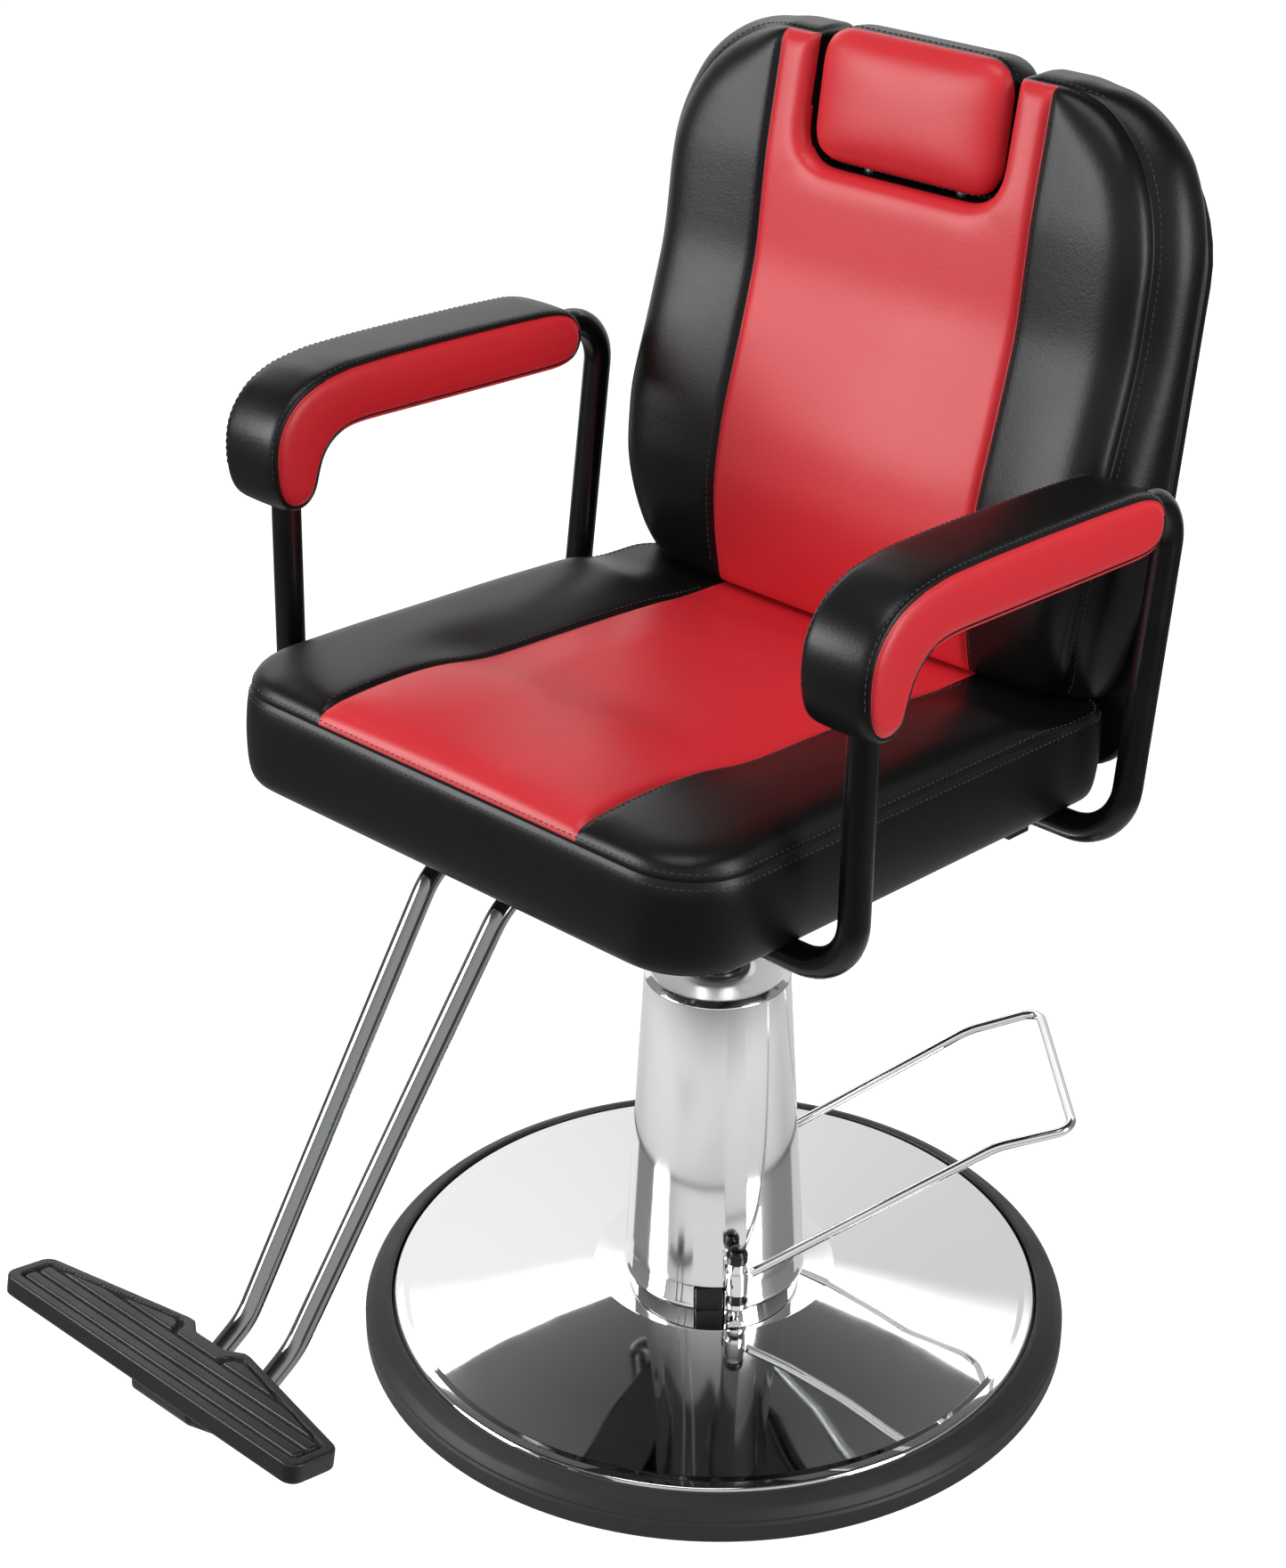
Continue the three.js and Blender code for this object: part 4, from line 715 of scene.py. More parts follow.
def part_finish(piece: Piece, finish: Finish, where: Callable[[Vector], bool]) -> None:
    """Gives a second finish to some of a piece's faces.

    Args:
        piece: the dressed piece.
        finish: the second finish.
        where: tells from a face's middle, in millimetres, whether it takes that finish.
    """
    piece.data.materials.append(finish.material())
    for polygon in piece.data.polygons:
        if where(polygon.center / MM):
            polygon.material_index = len(piece.data.materials) - 1


def hand_over(piece: Piece, slot: str, body: Body, *nodes: str) -> None:
    """Hangs a dressed piece on its body's empty, hides the CAD nodes that it replaces and logs it.

    Args:
        piece: the object.
        slot: the record's material slot; not used.
        body: the body that it rides on.
        nodes: the CAD nodes that it replaces.
    """
    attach(piece, body.value)
    if nodes:
        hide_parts(*nodes)
    LOG.info("piece %s on %s, %d faces", piece.name, body.value, len(piece.data.polygons))


def refinish(finish: Finish, *nodes: str) -> None:
    """Gives CAD nodes whose shape is kept a better finish.

    Args:
        finish: the finish.
        nodes: the nodes' names.
    """
    for name in nodes:
        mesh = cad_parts[name].data
        mesh.materials.clear()
        mesh.materials.append(finish.material())


# ---------- upholstery

STITCH_GAP = 5.0  # from a panel seam to its row of stitches
WELL_INSIDE = 60.0  # a distance to the border at which the border no longer matters
POST_OUT = 45.0  # from the middle to each of the headrest's posts
POST_BEHIND = 30.0  # from the plane of the back's board to the posts


def knots(table: Sequence[Point2], place: float) -> float:
    """Reads a value off a table of (place, value) knots, with straight steps between them."""
    return float(np.interp(place, [row[0] for row in table], [row[1] for row in table]))


def flowing(table: Sequence[Point2], low: float, high: float) -> list[Point2]:
    """Turns a few (place, value) knots into a finely stepped table that has no kinks.

    Args:
        table: the knots.
        low: where the new table starts.
        high: where it ends.

    Returns:
        The new table.
    """
    places = np.linspace(low, high, 240)
    values = np.interp(places, [row[0] for row in table], [row[1] for row in table])
    weights = np.hanning(31)
    padded = np.pad(values, 15, mode="edge")
    return list(zip(places, np.convolve(padded, weights / weights.sum(), mode="valid")))


def round_corner(x: float, y: float, half_x: float, half_y: float, reach_x: float, reach_y: float) -> Point2:
    """Moves the square corner of a rectangle about the origin onto a quarter ellipse.

    Args:
        x: across.
        y: along.
        half_x: the rectangle's half width.
        half_y: its half length.
        reach_x: how far the corner reaches across.
        reach_y: how far it reaches along.

    Returns:
        The moved point.
    """
    dx = (abs(x) - (half_x - reach_x)) / reach_x
    dy = (abs(y) - (half_y - reach_y)) / reach_y
    if dx <= 0 or dy <= 0:
        return x, y
    shrink = max(dx, dy) / math.hypot(dx, dy)
    return (math.copysign(half_x - reach_x + dx * shrink * reach_x, x),
            math.copysign(half_y - reach_y + dy * shrink * reach_y, y))


def eased(value: float) -> float:
    """Goes from 0 to 1 as its value does, with a soft start and a soft end."""
    share = min(1.0, max(0.0, value))
    return share * share * (3 - 2 * share)


def rolled(edge: float, turn: float, power: float = 2.0) -> float:
    """How much of its full height a rolled edge has reached, from 0 to 1.

    Args:
        edge: the distance to the border.
        turn: the distance at which the roll ends.
        power: how square the roll is.

    Returns:
        The share of the height.
    """
    return math.sqrt(max(0.0, 1 - (1 - min(edge, turn) / turn) ** power))


def seam_groove(reach: float, seam: float, edge: float) -> float:
    """The share of its depth that a seam's groove has beside the seam, less near the border."""
    return math.exp(-((reach - seam) / 2.6) ** 2) * min(1.0, edge / 14)


def spread(
    half: float,
    seams: Sequence[float],
    step: float,
    fine: Sequence[float] = (1.4, 3.2, 6.5),
) -> list[float]:
    """Places grid lines from -half to half, evenly spaced but crowded round the seams.

    Args:
        half: the half width.
        seams: positions of seams, each mirrored.
        step: the even spacing.
        fine: distances of the crowded lines from a seam.

    Returns:
        The positions in order.
    """
    marks = {0.0, half, *seams}
    for seam in seams:
        marks.update(seam + side * gap for gap in fine for side in (-1, 1))
    marks.update(half - gap for gap in (2.5, 6.0, 11.0))
    fixed = sorted(mark for mark in marks if 0 <= mark <= half)
    lines: list[float] = []
    for before, after in zip(fixed, fixed[1:]):
        count = max(1, round((after - before) / step))
        lines.extend(before + (after - before) * i / count for i in range(count))
    lines.append(half)
    return [-line for line in reversed(lines[1:])] + lines


@dataclass
class PadPattern:
    """What a padded form is cut and sewn from: a gridded face, a side band and a hidden back."""

    name: str
    columns: list[float]
    rows: list[float]
    plan: Callable[[float, float], Point2]
    rise: Callable[[float, float, float], float]
    band: list[tuple[float, float]]  # (outset, share of the way to the back)
    back: float
    keep: Callable[[float, float], bool] = lambda x, y: True
    back_scale: float = 1.0
    flare: Callable[[float, float], float] = lambda x, y: 1.0  # widens the band from place to place
    half: bool = False  # True where the other half mirrors this one across its back
    clamp: Callable[[float, float, float], Point3] = lambda x, y, h: (x, y, h)


class Upholsterer:
    """Makes padded forms: sews the pattern, colours it, stuffs it and finishes it."""

    def __init__(self, pattern: PadPattern) -> None:
        """Keeps the form's pattern."""
        self.pattern = pattern
        self.rim: list[int] = []
        self.across: list[float] = []  # where each face's cell lies across the pattern

    def _rim_order(self, cells: list[tuple[int, int]]) -> list[tuple[int, int]]:
        """Finds the grid corners round the face, in order.

        Args:
            cells: the kept cells.

        Returns:
            The corners, anticlockwise.
        """
        follow: dict[tuple[int, int], tuple[int, int]] = {}
        kept = set(cells)
        for i, j in cells:
            if (i, j - 1) not in kept:
                follow[(i, j)] = (i + 1, j)
            if (i + 1, j) not in kept:
                follow[(i + 1, j)] = (i + 1, j + 1)
            if (i, j + 1) not in kept:
                follow[(i + 1, j + 1)] = (i, j + 1)
            if (i - 1, j) not in kept:
                follow[(i, j + 1)] = (i, j)
        start = min(follow)
        ring = [start]
        while follow[ring[-1]] != start:
            ring.append(follow[ring[-1]])
        return ring

    def sew(self) -> Piece:
        """Builds the closed form.

        Returns:
            The form, with its face's cells first and the band and back after them.
        """
        cut = self.pattern
        cells = [
            (i, j)
            for i in range(len(cut.columns) - 1)
            for j in range(len(cut.rows) - 1)
            if cut.keep((cut.columns[i] + cut.columns[i + 1]) / 2, (cut.rows[j] + cut.rows[j + 1]) / 2)
        ]
        corners = sorted({(i + a, j + b) for i, j in cells for a in (0, 1) for b in (0, 1)})
        ring = self._rim_order(cells)
        flat = {key: cut.plan(cut.columns[key[0]], cut.rows[key[1]]) for key in corners}
        rim = np.array([flat[key] for key in ring])
        ahead = np.roll(rim, -1, axis=0)
        points = np.array([flat[key] for key in corners])
        edge = np.full(len(points), 1e9)
        for a, b in zip(rim, ahead):
            run = b - a
            share = np.clip(((points - a) @ run) / max(run @ run, 1e-9), 0, 1)
            edge = np.minimum(edge, np.linalg.norm(points - a - share[:, None] * run, axis=1))
        lean = ahead - np.roll(rim, 1, axis=0)
        outward = np.stack([lean[:, 1], -lean[:, 0]], axis=1)
        outward /= np.linalg.norm(outward, axis=1)[:, None]

        places: list[Point3] = []
        index: dict[tuple[int, int], int] = {}
        for key, (x, y), gap in zip(corners, points, edge):
            index[key] = len(places)
            places.append(cut.clamp(x, y, cut.rise(x, y, gap)))
        faces = [(index[i, j], index[i + 1, j], index[i + 1, j + 1], index[i, j + 1]) for i, j in cells]
        self.across = [(cut.columns[i] + cut.columns[i + 1]) / 2 for i, _ in cells]
        self.rim = [index[key] for key in ring]
        loop = list(self.rim)
        for number, (outset, share) in enumerate(cut.band):
            last = number == len(cut.band) - 1 and not cut.half
            fresh = []
            for k, key in enumerate(ring):
                reach = outset * cut.flare(*rim[k])
                x, y = rim[k] * cut.back_scale if last and cut.back_scale < 1 else rim[k] + outward[k] * reach
                start = cut.rise(rim[k][0], rim[k][1], 0.0)
                fresh.append(len(places))
                places.append(cut.clamp(x, y, start + (cut.back - start) * share))
            faces += [
                (loop[k - 1], fresh[k - 1], fresh[k], loop[k]) for k in range(len(ring))
            ]
            loop = fresh
        under = dict(zip(ring, loop))
        level = cut.back if not cut.band else places[loop[0]][2]
        for key, (x, y) in flat.items():
            if key not in under and not cut.half:
                under[key] = len(places)
                places.append(cut.clamp(x * cut.back_scale, y * cut.back_scale, level))
        if not cut.half:
            faces += [(under[i, j], under[i, j + 1], under[i + 1, j + 1], under[i + 1, j]) for i, j in cells]
        piece = meshed(cut.name, [(x * MM, y * MM, h * MM) for x, y, h in places], faces)
        piece.data.validate()
        return piece

    def colour(self, piece: Piece, panel: Callable[[float], bool]) -> None:
        """Makes the middle panel red and all the rest black.

        Args:
            piece: the sewn form.
            panel: tells from a cell's place across the pattern whether it is in the panel.
        """
        piece.data.materials.append(BLACK_VINYL.material())
        piece.data.materials.append(RED_VINYL.material())
        for number, polygon in enumerate(piece.data.polygons):
            inside = number < len(self.across) and panel(self.across[number])
            polygon.material_index = 1 if inside else 0

    def stuff(
        self,
        piece: Piece,
        held: Callable[[Vector, int], bool],
        pressure: float,
        cap_mm: float,
        frames: int = 18,
    ) -> None:
        """Puffs the form up with cloth under pressure, and keeps every corner within a cap.

        Args:
            piece: the sewn form.
            held: tells whether a corner is sewn down.
            pressure: the pressure of the foam.
            cap_mm: how far a corner may move.
            frames: how many steps the cloth takes.
        """
        before = [vertex.co.copy() for vertex in piece.data.vertices]
        pins = piece.vertex_groups.new(name="sewn")
        pins.add([i for i, place in enumerate(before) if held(place / MM, i)], 1.0, "REPLACE")
        modifier = piece.modifiers.new("foam", "CLOTH")
        cloth = modifier.settings
        cloth.vertex_group_mass = "sewn"
        cloth.quality = 4
        cloth.mass = 0.4
        cloth.tension_stiffness = 25
        cloth.compression_stiffness = 25
        cloth.shear_stiffness = 12
        cloth.bending_stiffness = 4
        cloth.use_pressure = True
        cloth.uniform_pressure_force = pressure
        cloth.effector_weights.gravity = 0
        modifier.collision_settings.use_collision = False
        modifier.point_cache.frame_start = 1
        modifier.point_cache.frame_end = frames
        for number in range(1, frames + 1):
            bpy.context.scene.frame_set(number)
        shown = piece.evaluated_get(bpy.context.evaluated_depsgraph_get()).to_mesh()
        after = [vertex.co.copy() for vertex in shown.vertices]
        piece.modifiers.remove(modifier)
        bpy.context.scene.frame_set(1)
        for vertex, start, end in zip(piece.data.vertices, before, after):
            move = end - start
            if move.length > cap_mm * MM:
                move = move.normalized() * cap_mm * MM
            vertex.co = start + move
        piece.data.update()

    def finish(self, piece: Piece, place: Matrix, fill: float) -> None:
        """Args:
            piece: the form.
            place: where its own axes go.
            fill: how tightly it is stuffed, from 0 to 1; not used.
        """
        face_out(piece)
        apply_modifier(piece, "SUBSURF", levels=1, render_levels=1)
        select_only(piece)
        bpy.ops.object.shade_smooth()
        settle(piece, place)


def stitched(
    name: str,
    cover: Piece,
    line: Sequence[Vector],
    body: Body,
    pitch_mm: float = 5.5,
    length_mm: float = 4.0,
    thick_mm: float = 0.9,
    lift_mm: float = 0.15,
) -> None:
    """Lays a row of stitches on a cover along a line.

    Args:
        name: the row's name.
        cover: the piece that is sewn.
        line: points near the cover's surface, in metres, in the part's frame.
        body: the body that the row rides on.
        pitch_mm: from one stitch to the next.
        length_mm: the length of a stitch.
        thick_mm: the thickness of the thread, drawn a little heavy so that it shows.
        lift_mm: how high the middle of the thread lies over the cover.
    """
    bpy.ops.mesh.primitive_uv_sphere_add(segments=6, ring_count=4, radius=0.5)
    model = bpy.context.object
    shape = [vertex.co.copy() for vertex in model.data.vertices]
    shells = [tuple(polygon.vertices) for polygon in model.data.polygons]
    bpy.data.objects.remove(model, do_unlink=True)

    surface = BVHTree.FromObject(cover, bpy.context.evaluated_depsgraph_get())
    places: list[Vector] = []
    faces: list[tuple[int, ...]] = []
    gap = pitch_mm * MM
    walked, due = 0.0, gap / 2
    for start, end in zip(line, line[1:]):
        run = end - start
        if run.length < 1e-9:
            continue
        while due <= walked + run.length:
            point = start + run * ((due - walked) / run.length)
            spot, normal, _, _ = surface.find_nearest(point)
            due += gap
            if spot is None:
                continue
            along = (run - normal * run.dot(normal)).normalized()
            across = normal.cross(along)
            first = len(places)
            for corner in shape:
                places.append(spot + along * (corner.x * length_mm * MM)
                              + across * (corner.y * thick_mm * MM)
                              + normal * ((corner.z * thick_mm + lift_mm) * MM))
            faces.extend(tuple(first + i for i in shell) for shell in shells)
        walked += run.length
    row = meshed(name, places, faces)
    select_only(row)
    bpy.ops.object.shade_smooth()
    dress(row, BLACK_THREAD, body)


def seam_line(pad: SeatPad | BackPad, place: Matrix, side: Side, ends: Point2, count: int) -> list[Vector]:
    """Finds a line beside one of a pad's two panel seams.

    Args:
        pad: the pad.
        place: where its own axes go.
        side: which seam.
        ends: where along the pad the line starts and stops.
        count: how many points it has.

    Returns:
        The points in metres, a stitch's gap outside the seam.
    """
    out = pad.panel + STITCH_GAP
    return [
        place @ (Vector((side.value * out, y, pad.rise(out, y, WELL_INSIDE))) * MM)
        for y in np.linspace(*ends, count)
    ]


def on_board(lift: float = 0.0) -> Matrix:
    """Takes (across, up, forward) to the leaning back, up counted from so far above its foot."""
    return BACK_LEAN @ Matrix(((1, 0, 0, 0), (0, 0, -1, 0), (0, 1, 0, lift * MM), (0, 0, 0, 1)))


def bore_posts(piece: Piece, radius: float, foot: float, low: float, high: float) -> None:
    """Bores the two upright holes for the headrest's posts in a form that is still flat on the bench.

    Args:
        piece: the form.
        radius: the holes' radius.
        foot: a height along the form.
        low: where the holes start, from that height.
        high: where they end, from that height.
    """
    for side in Side:
        cutter = spun("post_bore", [(0, low), (radius, low), (radius, high), (0, high), (0, low)], 24)
        settle(cutter, Matrix.Translation((side.value * POST_OUT * MM, foot * MM, -POST_BEHIND * MM))
               @ Matrix.Rotation(math.radians(-90), 4, "X"))
        carve(piece, cutter)


# ---------- the chair


@dataclass
class RoundFoot:
    """The spun chrome dome with its flat shoulder and neck, and the rubber ring round its rim."""

    rim: float = 272.0
    ring_radius: float = 295.0
    shoulder: Point2 = (104.0, 53.0)
    neck: Point2 = (73.0, 75.4)
    sheet: float = 2.0

    def dome(self) -> None:
        """Spins the dome and cuts the opening for the valve block."""
        radius, height = self.shoulder
        outside = [
            self.neck, (self.neck[0], height + 0.6), (radius - 3, height),  # the neck, flush with the cover
            (150.0, 47.4), (200.0, 40.6), (243.0, 35.6), (258.0, 34.2), (262.0, 33.0), (269.0, 32.6),
            (self.rim, 29.0), (self.rim, 8.4),
        ]
        radii = [0.4, 3.0, 14, 200, 200, 60, 6, 4, 3, 2.5, 0]
        skin = fillet(outside, radii, 8)
        inside = [(max(r - self.sheet, 58.0), max(h - self.sheet, 8.4)) for r, h in reversed(skin)]
        inside[0] = (self.rim - self.sheet, 8.4)
        inside[-1] = (self.neck[0] - self.sheet, self.neck[1])
        piece = spun("foot_dome", [*skin, *inside, skin[0]], 160)
        opening = block("dome_opening", (-21.3, -75, 53.9), (4.3, -40, 78))
        settle(opening, PEDAL_TURN)
        carve(piece, opening)
        smooth(piece, 38)
        dress(piece, CHROME, Body.BASE, "base_dome")

    def ring(self) -> None:
        """Moulds the ring: a sloping top, a lip and an upright wall."""
        inner = self.rim + 0.6
        corners = [
            (inner, 0.3), (292.5, 0.0), (self.ring_radius, 2.5), (self.ring_radius, 16.5), (293.2, 18.8),
            (293.4, 20.6), (288.0, 26.5), (276.5, 33.0), (inner + 1.0, 33.0), (inner, 31.5),
        ]
        radii = [0.5, 2, 1.5, 1.2, 0.6, 1.5, 12, 2, 0.8, 0.5]
        shape = fillet(corners, radii, 5, closed=True)
        piece = spun("foot_ring", [*shape, shape[0]], 160)
        smooth(piece, 40)
        dress(piece, RUBBER, Body.BASE, "base_rubber_ring")

    def build(self) -> None:
        """Makes the foot and finishes the iron under it."""
        self.dome()
        self.ring()
        refinish(CASTING, "base_ballast_plate")


@dataclass
class PumpColumn:
    """The tapered chrome cover, the ram inside it, its wiper and the valve block beside the neck."""

    low: Point2 = (74.3, 76.0)
    high: Point2 = (59.5, 339.5)
    chamfer: float = 5.0
    dish: float = 1.8  # how far the cap falls towards the ram
    ram_radius: float = 19.5
    ram_foot: float = 206.6
    ram_top: float = 511.5
    spring_wire: float = 1.1
    spring_turns: int = 6
    turn_steps: int = 20  # stations to a turn of the spring
    plunger_stroke: float = 12.5

    def cover(self) -> None:
        """Spins the cover and cuts the slots for the pedal's shaft."""
        bore = self.ram_radius + 2
        radius, top = self.high
        shape = fillet([
            self.low, (radius, top - self.chamfer), (radius - self.chamfer, top),
            (bore + 9, top - self.dish), (bore + 3, top), (bore, top),
            (bore, top - 4), (radius - self.chamfer - 1, top - 4),
            (radius - 2, top - self.chamfer - 1), (self.low[0] - 2, self.low[1]),
        ], [0.8, 2.2, 2.2, 3, 2, 0.6, 0.5, 1, 1, 0.8], 4, closed=True)
        piece = spun("column_cover_shell", [*shape, shape[0]], 160)
        slots = block("shaft_slots", (4, -80, 74), (22, 80, 99))
        settle(slots, PEDAL_TURN)
        carve(piece, slots)
        smooth(piece, 38)
        dress(piece, SATIN_CHROME, Body.BASE, "column_cover")
        part_finish(piece, CAP_CHROME, lambda spot: spot.z > top - 2.4 and spot.xy.length < 55)

    def ram(self) -> None:
        """Turns the ram with a chamfered crown."""
        corners = [
            (0, self.ram_foot), (self.ram_radius, self.ram_foot), (self.ram_radius, self.ram_top - 2),
            (self.ram_radius - 2, self.ram_top), (0, self.ram_top),
        ]
        piece = spun("lift_ram_bar", [*corners, corners[0]], 64)
        smooth(piece, 38)
        dress(piece, CHROME, Body.LIFT, "lift_ram")

    def wiper(self) -> None:
        """Moulds the wiper ring round the ram."""
        corners = [(20.1, 339.8), (26.5, 339.8), (26.5, 341.6), (24.8, 342.8), (21.2, 342.8), (20.1, 341.2)]
        shape = fillet(corners, [0.3, 0.5, 0.6, 0.6, 0.6, 0.4], 3, closed=True)
        piece = spun("ram_wiper_ring", [*shape, shape[0]], 64)
        smooth(piece, 40)
        dress(piece, RUBBER, Body.BASE, "ram_wiper")

    def valve(self) -> None:
        """Shapes the valve block, with a stepped face and softened corners."""
        piece = block("valve_block", (-20, -74, 54.3), (3, -52.4, 75.3))
        inset(piece, (0, -1, 0), 4.0, 1.5)
        soften(piece, 1.0, 3)
        settle(piece, PEDAL_TURN)
        smooth(piece)
        dress(piece, ENAMEL, Body.BASE, "pump_valve_block")

    def return_spring(self) -> None:
        """Winds the plunger's return spring, which the pedal squeezes as it goes down."""
        low, high = (Vector(corner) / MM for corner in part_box("plunger_spring"))
        middle = (low + high) / 2
        radius = (high.x - low.x) / 2 - self.spring_wire
        climb = high.z - low.z - 2 * self.spring_wire
        steps = self.turn_steps * self.spring_turns
        route = []
        for step in range(steps + 1):
            angle = math.tau * self.spring_turns * step / steps
            route.append(Vector((
                middle.x + radius * math.cos(angle), middle.y + radius * math.sin(angle),
                low.z + self.spring_wire + climb * step / steps,
            )))
        piece = swept("return_spring", route, self.spring_wire, 8)
        dress(piece, STEEL, Body.BASE, "plunger_spring")
        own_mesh(piece)

    def build(self) -> None:
        """Makes the column and finishes the pump inside it."""
        self.cover()
        self.ram()
        self.wiper()
        self.valve()
        self.return_spring()
        refinish(CASTING, "pump_body")
        refinish(STEEL, "pump_plunger", "pump_cylinder", "reservoir_tube", "pump_gland", "ram_piston")


@dataclass
class FootPedal:
    """The bent rod loop on two chrome lugs at the ends of the pump's shaft."""

    pivot: Point2 = (13.0, 90.0)  # out and up
    rise: float = math.radians(31.6)
    tip_rise: float = math.radians(15.1)
    rod: float = 229.0
    tip: float = 63.0
    root_half: float = 83.5
    knee_half: float = 87.0
    tip_half: float = 89.0
    radius: float = 4.0
    lug_radius: float = 9.5

    def loop(self) -> None:
        """Bends the loop."""
        reach = self.lug_radius + 0.3 + self.radius * math.sin(self.rise)
        root = (self.pivot[0] + reach, self.pivot[1] + reach * math.tan(self.rise))
        knee = (root[0] + self.rod * math.cos(self.rise), root[1] + self.rod * math.sin(self.rise))
        tip = (knee[0] + self.tip * math.cos(self.tip_rise), knee[1] + self.tip * math.sin(self.tip_rise))
        near = [
            (spot[0], -half, spot[1])
            for spot, half in ((root, self.root_half), (knee, self.knee_half), (tip, self.tip_half))
        ]
        corners = near + [(x, -y, z) for x, y, z in reversed(near)]
        piece = swept("pedal_rod", bent_route(corners, [60, 14, 14, 60], 14), self.radius, 20)
        settle(piece, PEDAL_TURN)
        dress(piece, CHROME, Body.PEDAL, "pedal_loop")

    def lug(self, name: str, across: float) -> None:
        """Turns a lug: a waisted pin with a domed head and collars.

        Args:
            name: near or far.
            across: its place along the shaft.
        """
        radius = self.lug_radius
        profile = [
            (0, -26), (radius - 2.5, -26), (radius - 0.5, -24), (radius - 0.5, -19), (radius - 2.2, -17),
            (radius - 2.2, -12), (radius, -10), (radius, 10), (radius - 1.8, 12), (radius - 1.8, 19),
            (radius - 0.4, 21), (radius - 0.4, 27), (radius - 3, 31.5), (0, 33),
        ]
        radii = [0, 1.5, 1.0, 0.8, 0.5, 0.5, 1.0, 1.0, 0.5, 0.5, 1.0, 1.6, 3.0, 0]
        piece = spun(f"pedal_pin_{name}", [*fillet(profile, radii, 4), profile[0]], 40)
        smooth(piece, 45)
        settle(piece, PEDAL_TURN @ Matrix.Translation((self.pivot[0] * MM, across * MM, self.pivot[1] * MM)))
        dress(piece, CHROME, Body.PEDAL, f"pedal_lug_{name}")
        level = self.pivot[1]
        part_finish(piece, ENAMEL, lambda spot: spot.z > level + 17 or level - 19.5 < spot.z < level - 11.5)

    def build(self) -> None:
        """Makes the pedal."""
        self.loop()
        self.lug("near", -self.root_half)
        self.lug("far", self.root_half)
        refinish(STEEL, "pedal_shaft")


@dataclass
class SeatPad:
    """The boxed seat cushion: a red middle panel between black wings, and a stitched black side band."""

    half_width: float = 240.0
    front: float = -301.0
    rear: float = 177.0
    corner: float = 56.0
    seam_height: float = 600.0
    underside: float = 526.5
    panel: float = 130.0
    crown: float = 3.0  # how far the middle of the panel stands above its seams
    groove: float = 3.2
    slope: float = 62.0  # how far from a seam the wing reaches its own height
    roll: list[Point2] = field(default_factory=lambda: [
        (-301, 14), (-272, 17), (-236, 19), (-200, 19), (-168, 16), (-140, 10), (-112, 8), (-55, 7.5),
        (30, 6), (130, 0),
    ])
    wing: list[Point2] = field(default_factory=lambda: [
        (-301, 15), (-240, 19), (-180, 20), (-110, 19), (-20, 18), (60, 15), (110, 8), (150, 1),
    ])

    @property
    def middle(self) -> float:
        """The Y of the middle of the cushion."""
        return (self.front + self.rear) / 2

    def plan(self, x: float, y: float) -> Point2:
        """Rounds the corners in plan, y being counted from the middle."""
        half = (self.rear - self.front) / 2
        corner = self.corner if y < 0 else self.corner / 2
        return round_corner(x, y, self.half_width, half, corner, corner)

    def rise(self, x: float, y: float, edge: float) -> float:
        """The height of the top at a point in plan that lies so far from the seam round it.

        Args:
            x: across.
            y: along, from the middle.
            edge: the distance to the top's border.

        Returns:
            The height in millimetres.
        """
        along = y + self.middle
        middle = knots(self._rolled, along)
        side = knots(self._winged, along)
        reach = abs(x)
        if reach <= self.panel:
            body = middle + self.crown * (1 - (reach / self.panel) ** 2)
        else:
            body = middle + (side - middle) * eased((reach - self.panel) / self.slope)
        body = body * rolled(edge, 24.0, 2.2) - self.groove * seam_groove(reach, self.panel, edge)
        sunk = min(1.0, max(0.0, (along - 70) / 55))  # the rear is pressed flat under the back
        return self.seam_height + body * (1 - sunk) - sunk

    def build(self) -> None:
        """Sews, stuffs and stitches the cushion."""
        half = (self.rear - self.front) / 2
        self._rolled = flowing(self.roll, self.front, self.rear)
        self._winged = flowing(self.wing, self.front, self.rear)
        band = [
            (-1.2, 0.012), (0.2, 0.035), (2.2, 0.10), (3.4, 0.28), (3.8, 0.5), (3.0, 0.72), (1.6, 0.88),
            (-0.6, 0.965), (-3.5, 1.0), (-9.6, 1.0), (-9.8, 0.85),
        ]
        tailor = Upholsterer(PadPattern(
            "seat_cover", spread(self.half_width, [self.panel], 9.0), spread(half, [], 9.0),
            self.plan, self.rise, band, self.underside, back_scale=1 - 10.2 / self.half_width,
        ))
        piece = tailor.sew()
        tailor.colour(piece, lambda x: abs(x) < self.panel)
        rim = set(tailor.rim)

        def held(place: Vector, number: int) -> bool:
            """Tells which corners the seams, the board and the back hold down."""
            low = place.z < self.seam_height - 20
            seam = abs(abs(place.x) - self.panel) < 1.0 and place.z > self.seam_height - 8
            rear = place.y + self.middle > 95
            return low or seam or rear or number in rim

        tailor.stuff(piece, held, 2.2, 4.0)
        place = SEAT_LEAN @ Matrix.Translation((0, self.middle * MM, 0))
        tailor.finish(piece, place, 0.85)
        hand_over(piece, "black_vinyl", Body.SEAT, "seat_cushion")
        self.stitch(piece, place, half)
        refinish(PLYWOOD, "seat_board")

    def stitch(self, cover: Piece, place: Matrix, half: float) -> None:
        """Runs the double row round the border and a row along each panel seam.

        Args:
            cover: the finished cushion.
            place: where its own axes go.
            half: half its length.
        """
        outline = fillet(
            rectangle((-self.half_width, -half), (self.half_width, half)),
            [self.corner, self.corner, self.corner / 2, self.corner / 2], 14, closed=True,
        )
        for name, outset, height in (("seat_stitch_upper", -2.5, 603.5), ("seat_stitch_lower", 2.5, 594.5)):
            scale = 1 + outset / self.half_width
            line = [place @ (Vector((x * scale, y * scale, height)) * MM) for x, y in outline]
            stitched(name, cover, [*line, line[0]], Body.SEAT)
        for side in Side:
            line = seam_line(self, place, side, (-half + 12, 170 - self.middle - 50), 40)
            stitched(f"seat_stitch_panel_{side.label}", cover, line, Body.SEAT)


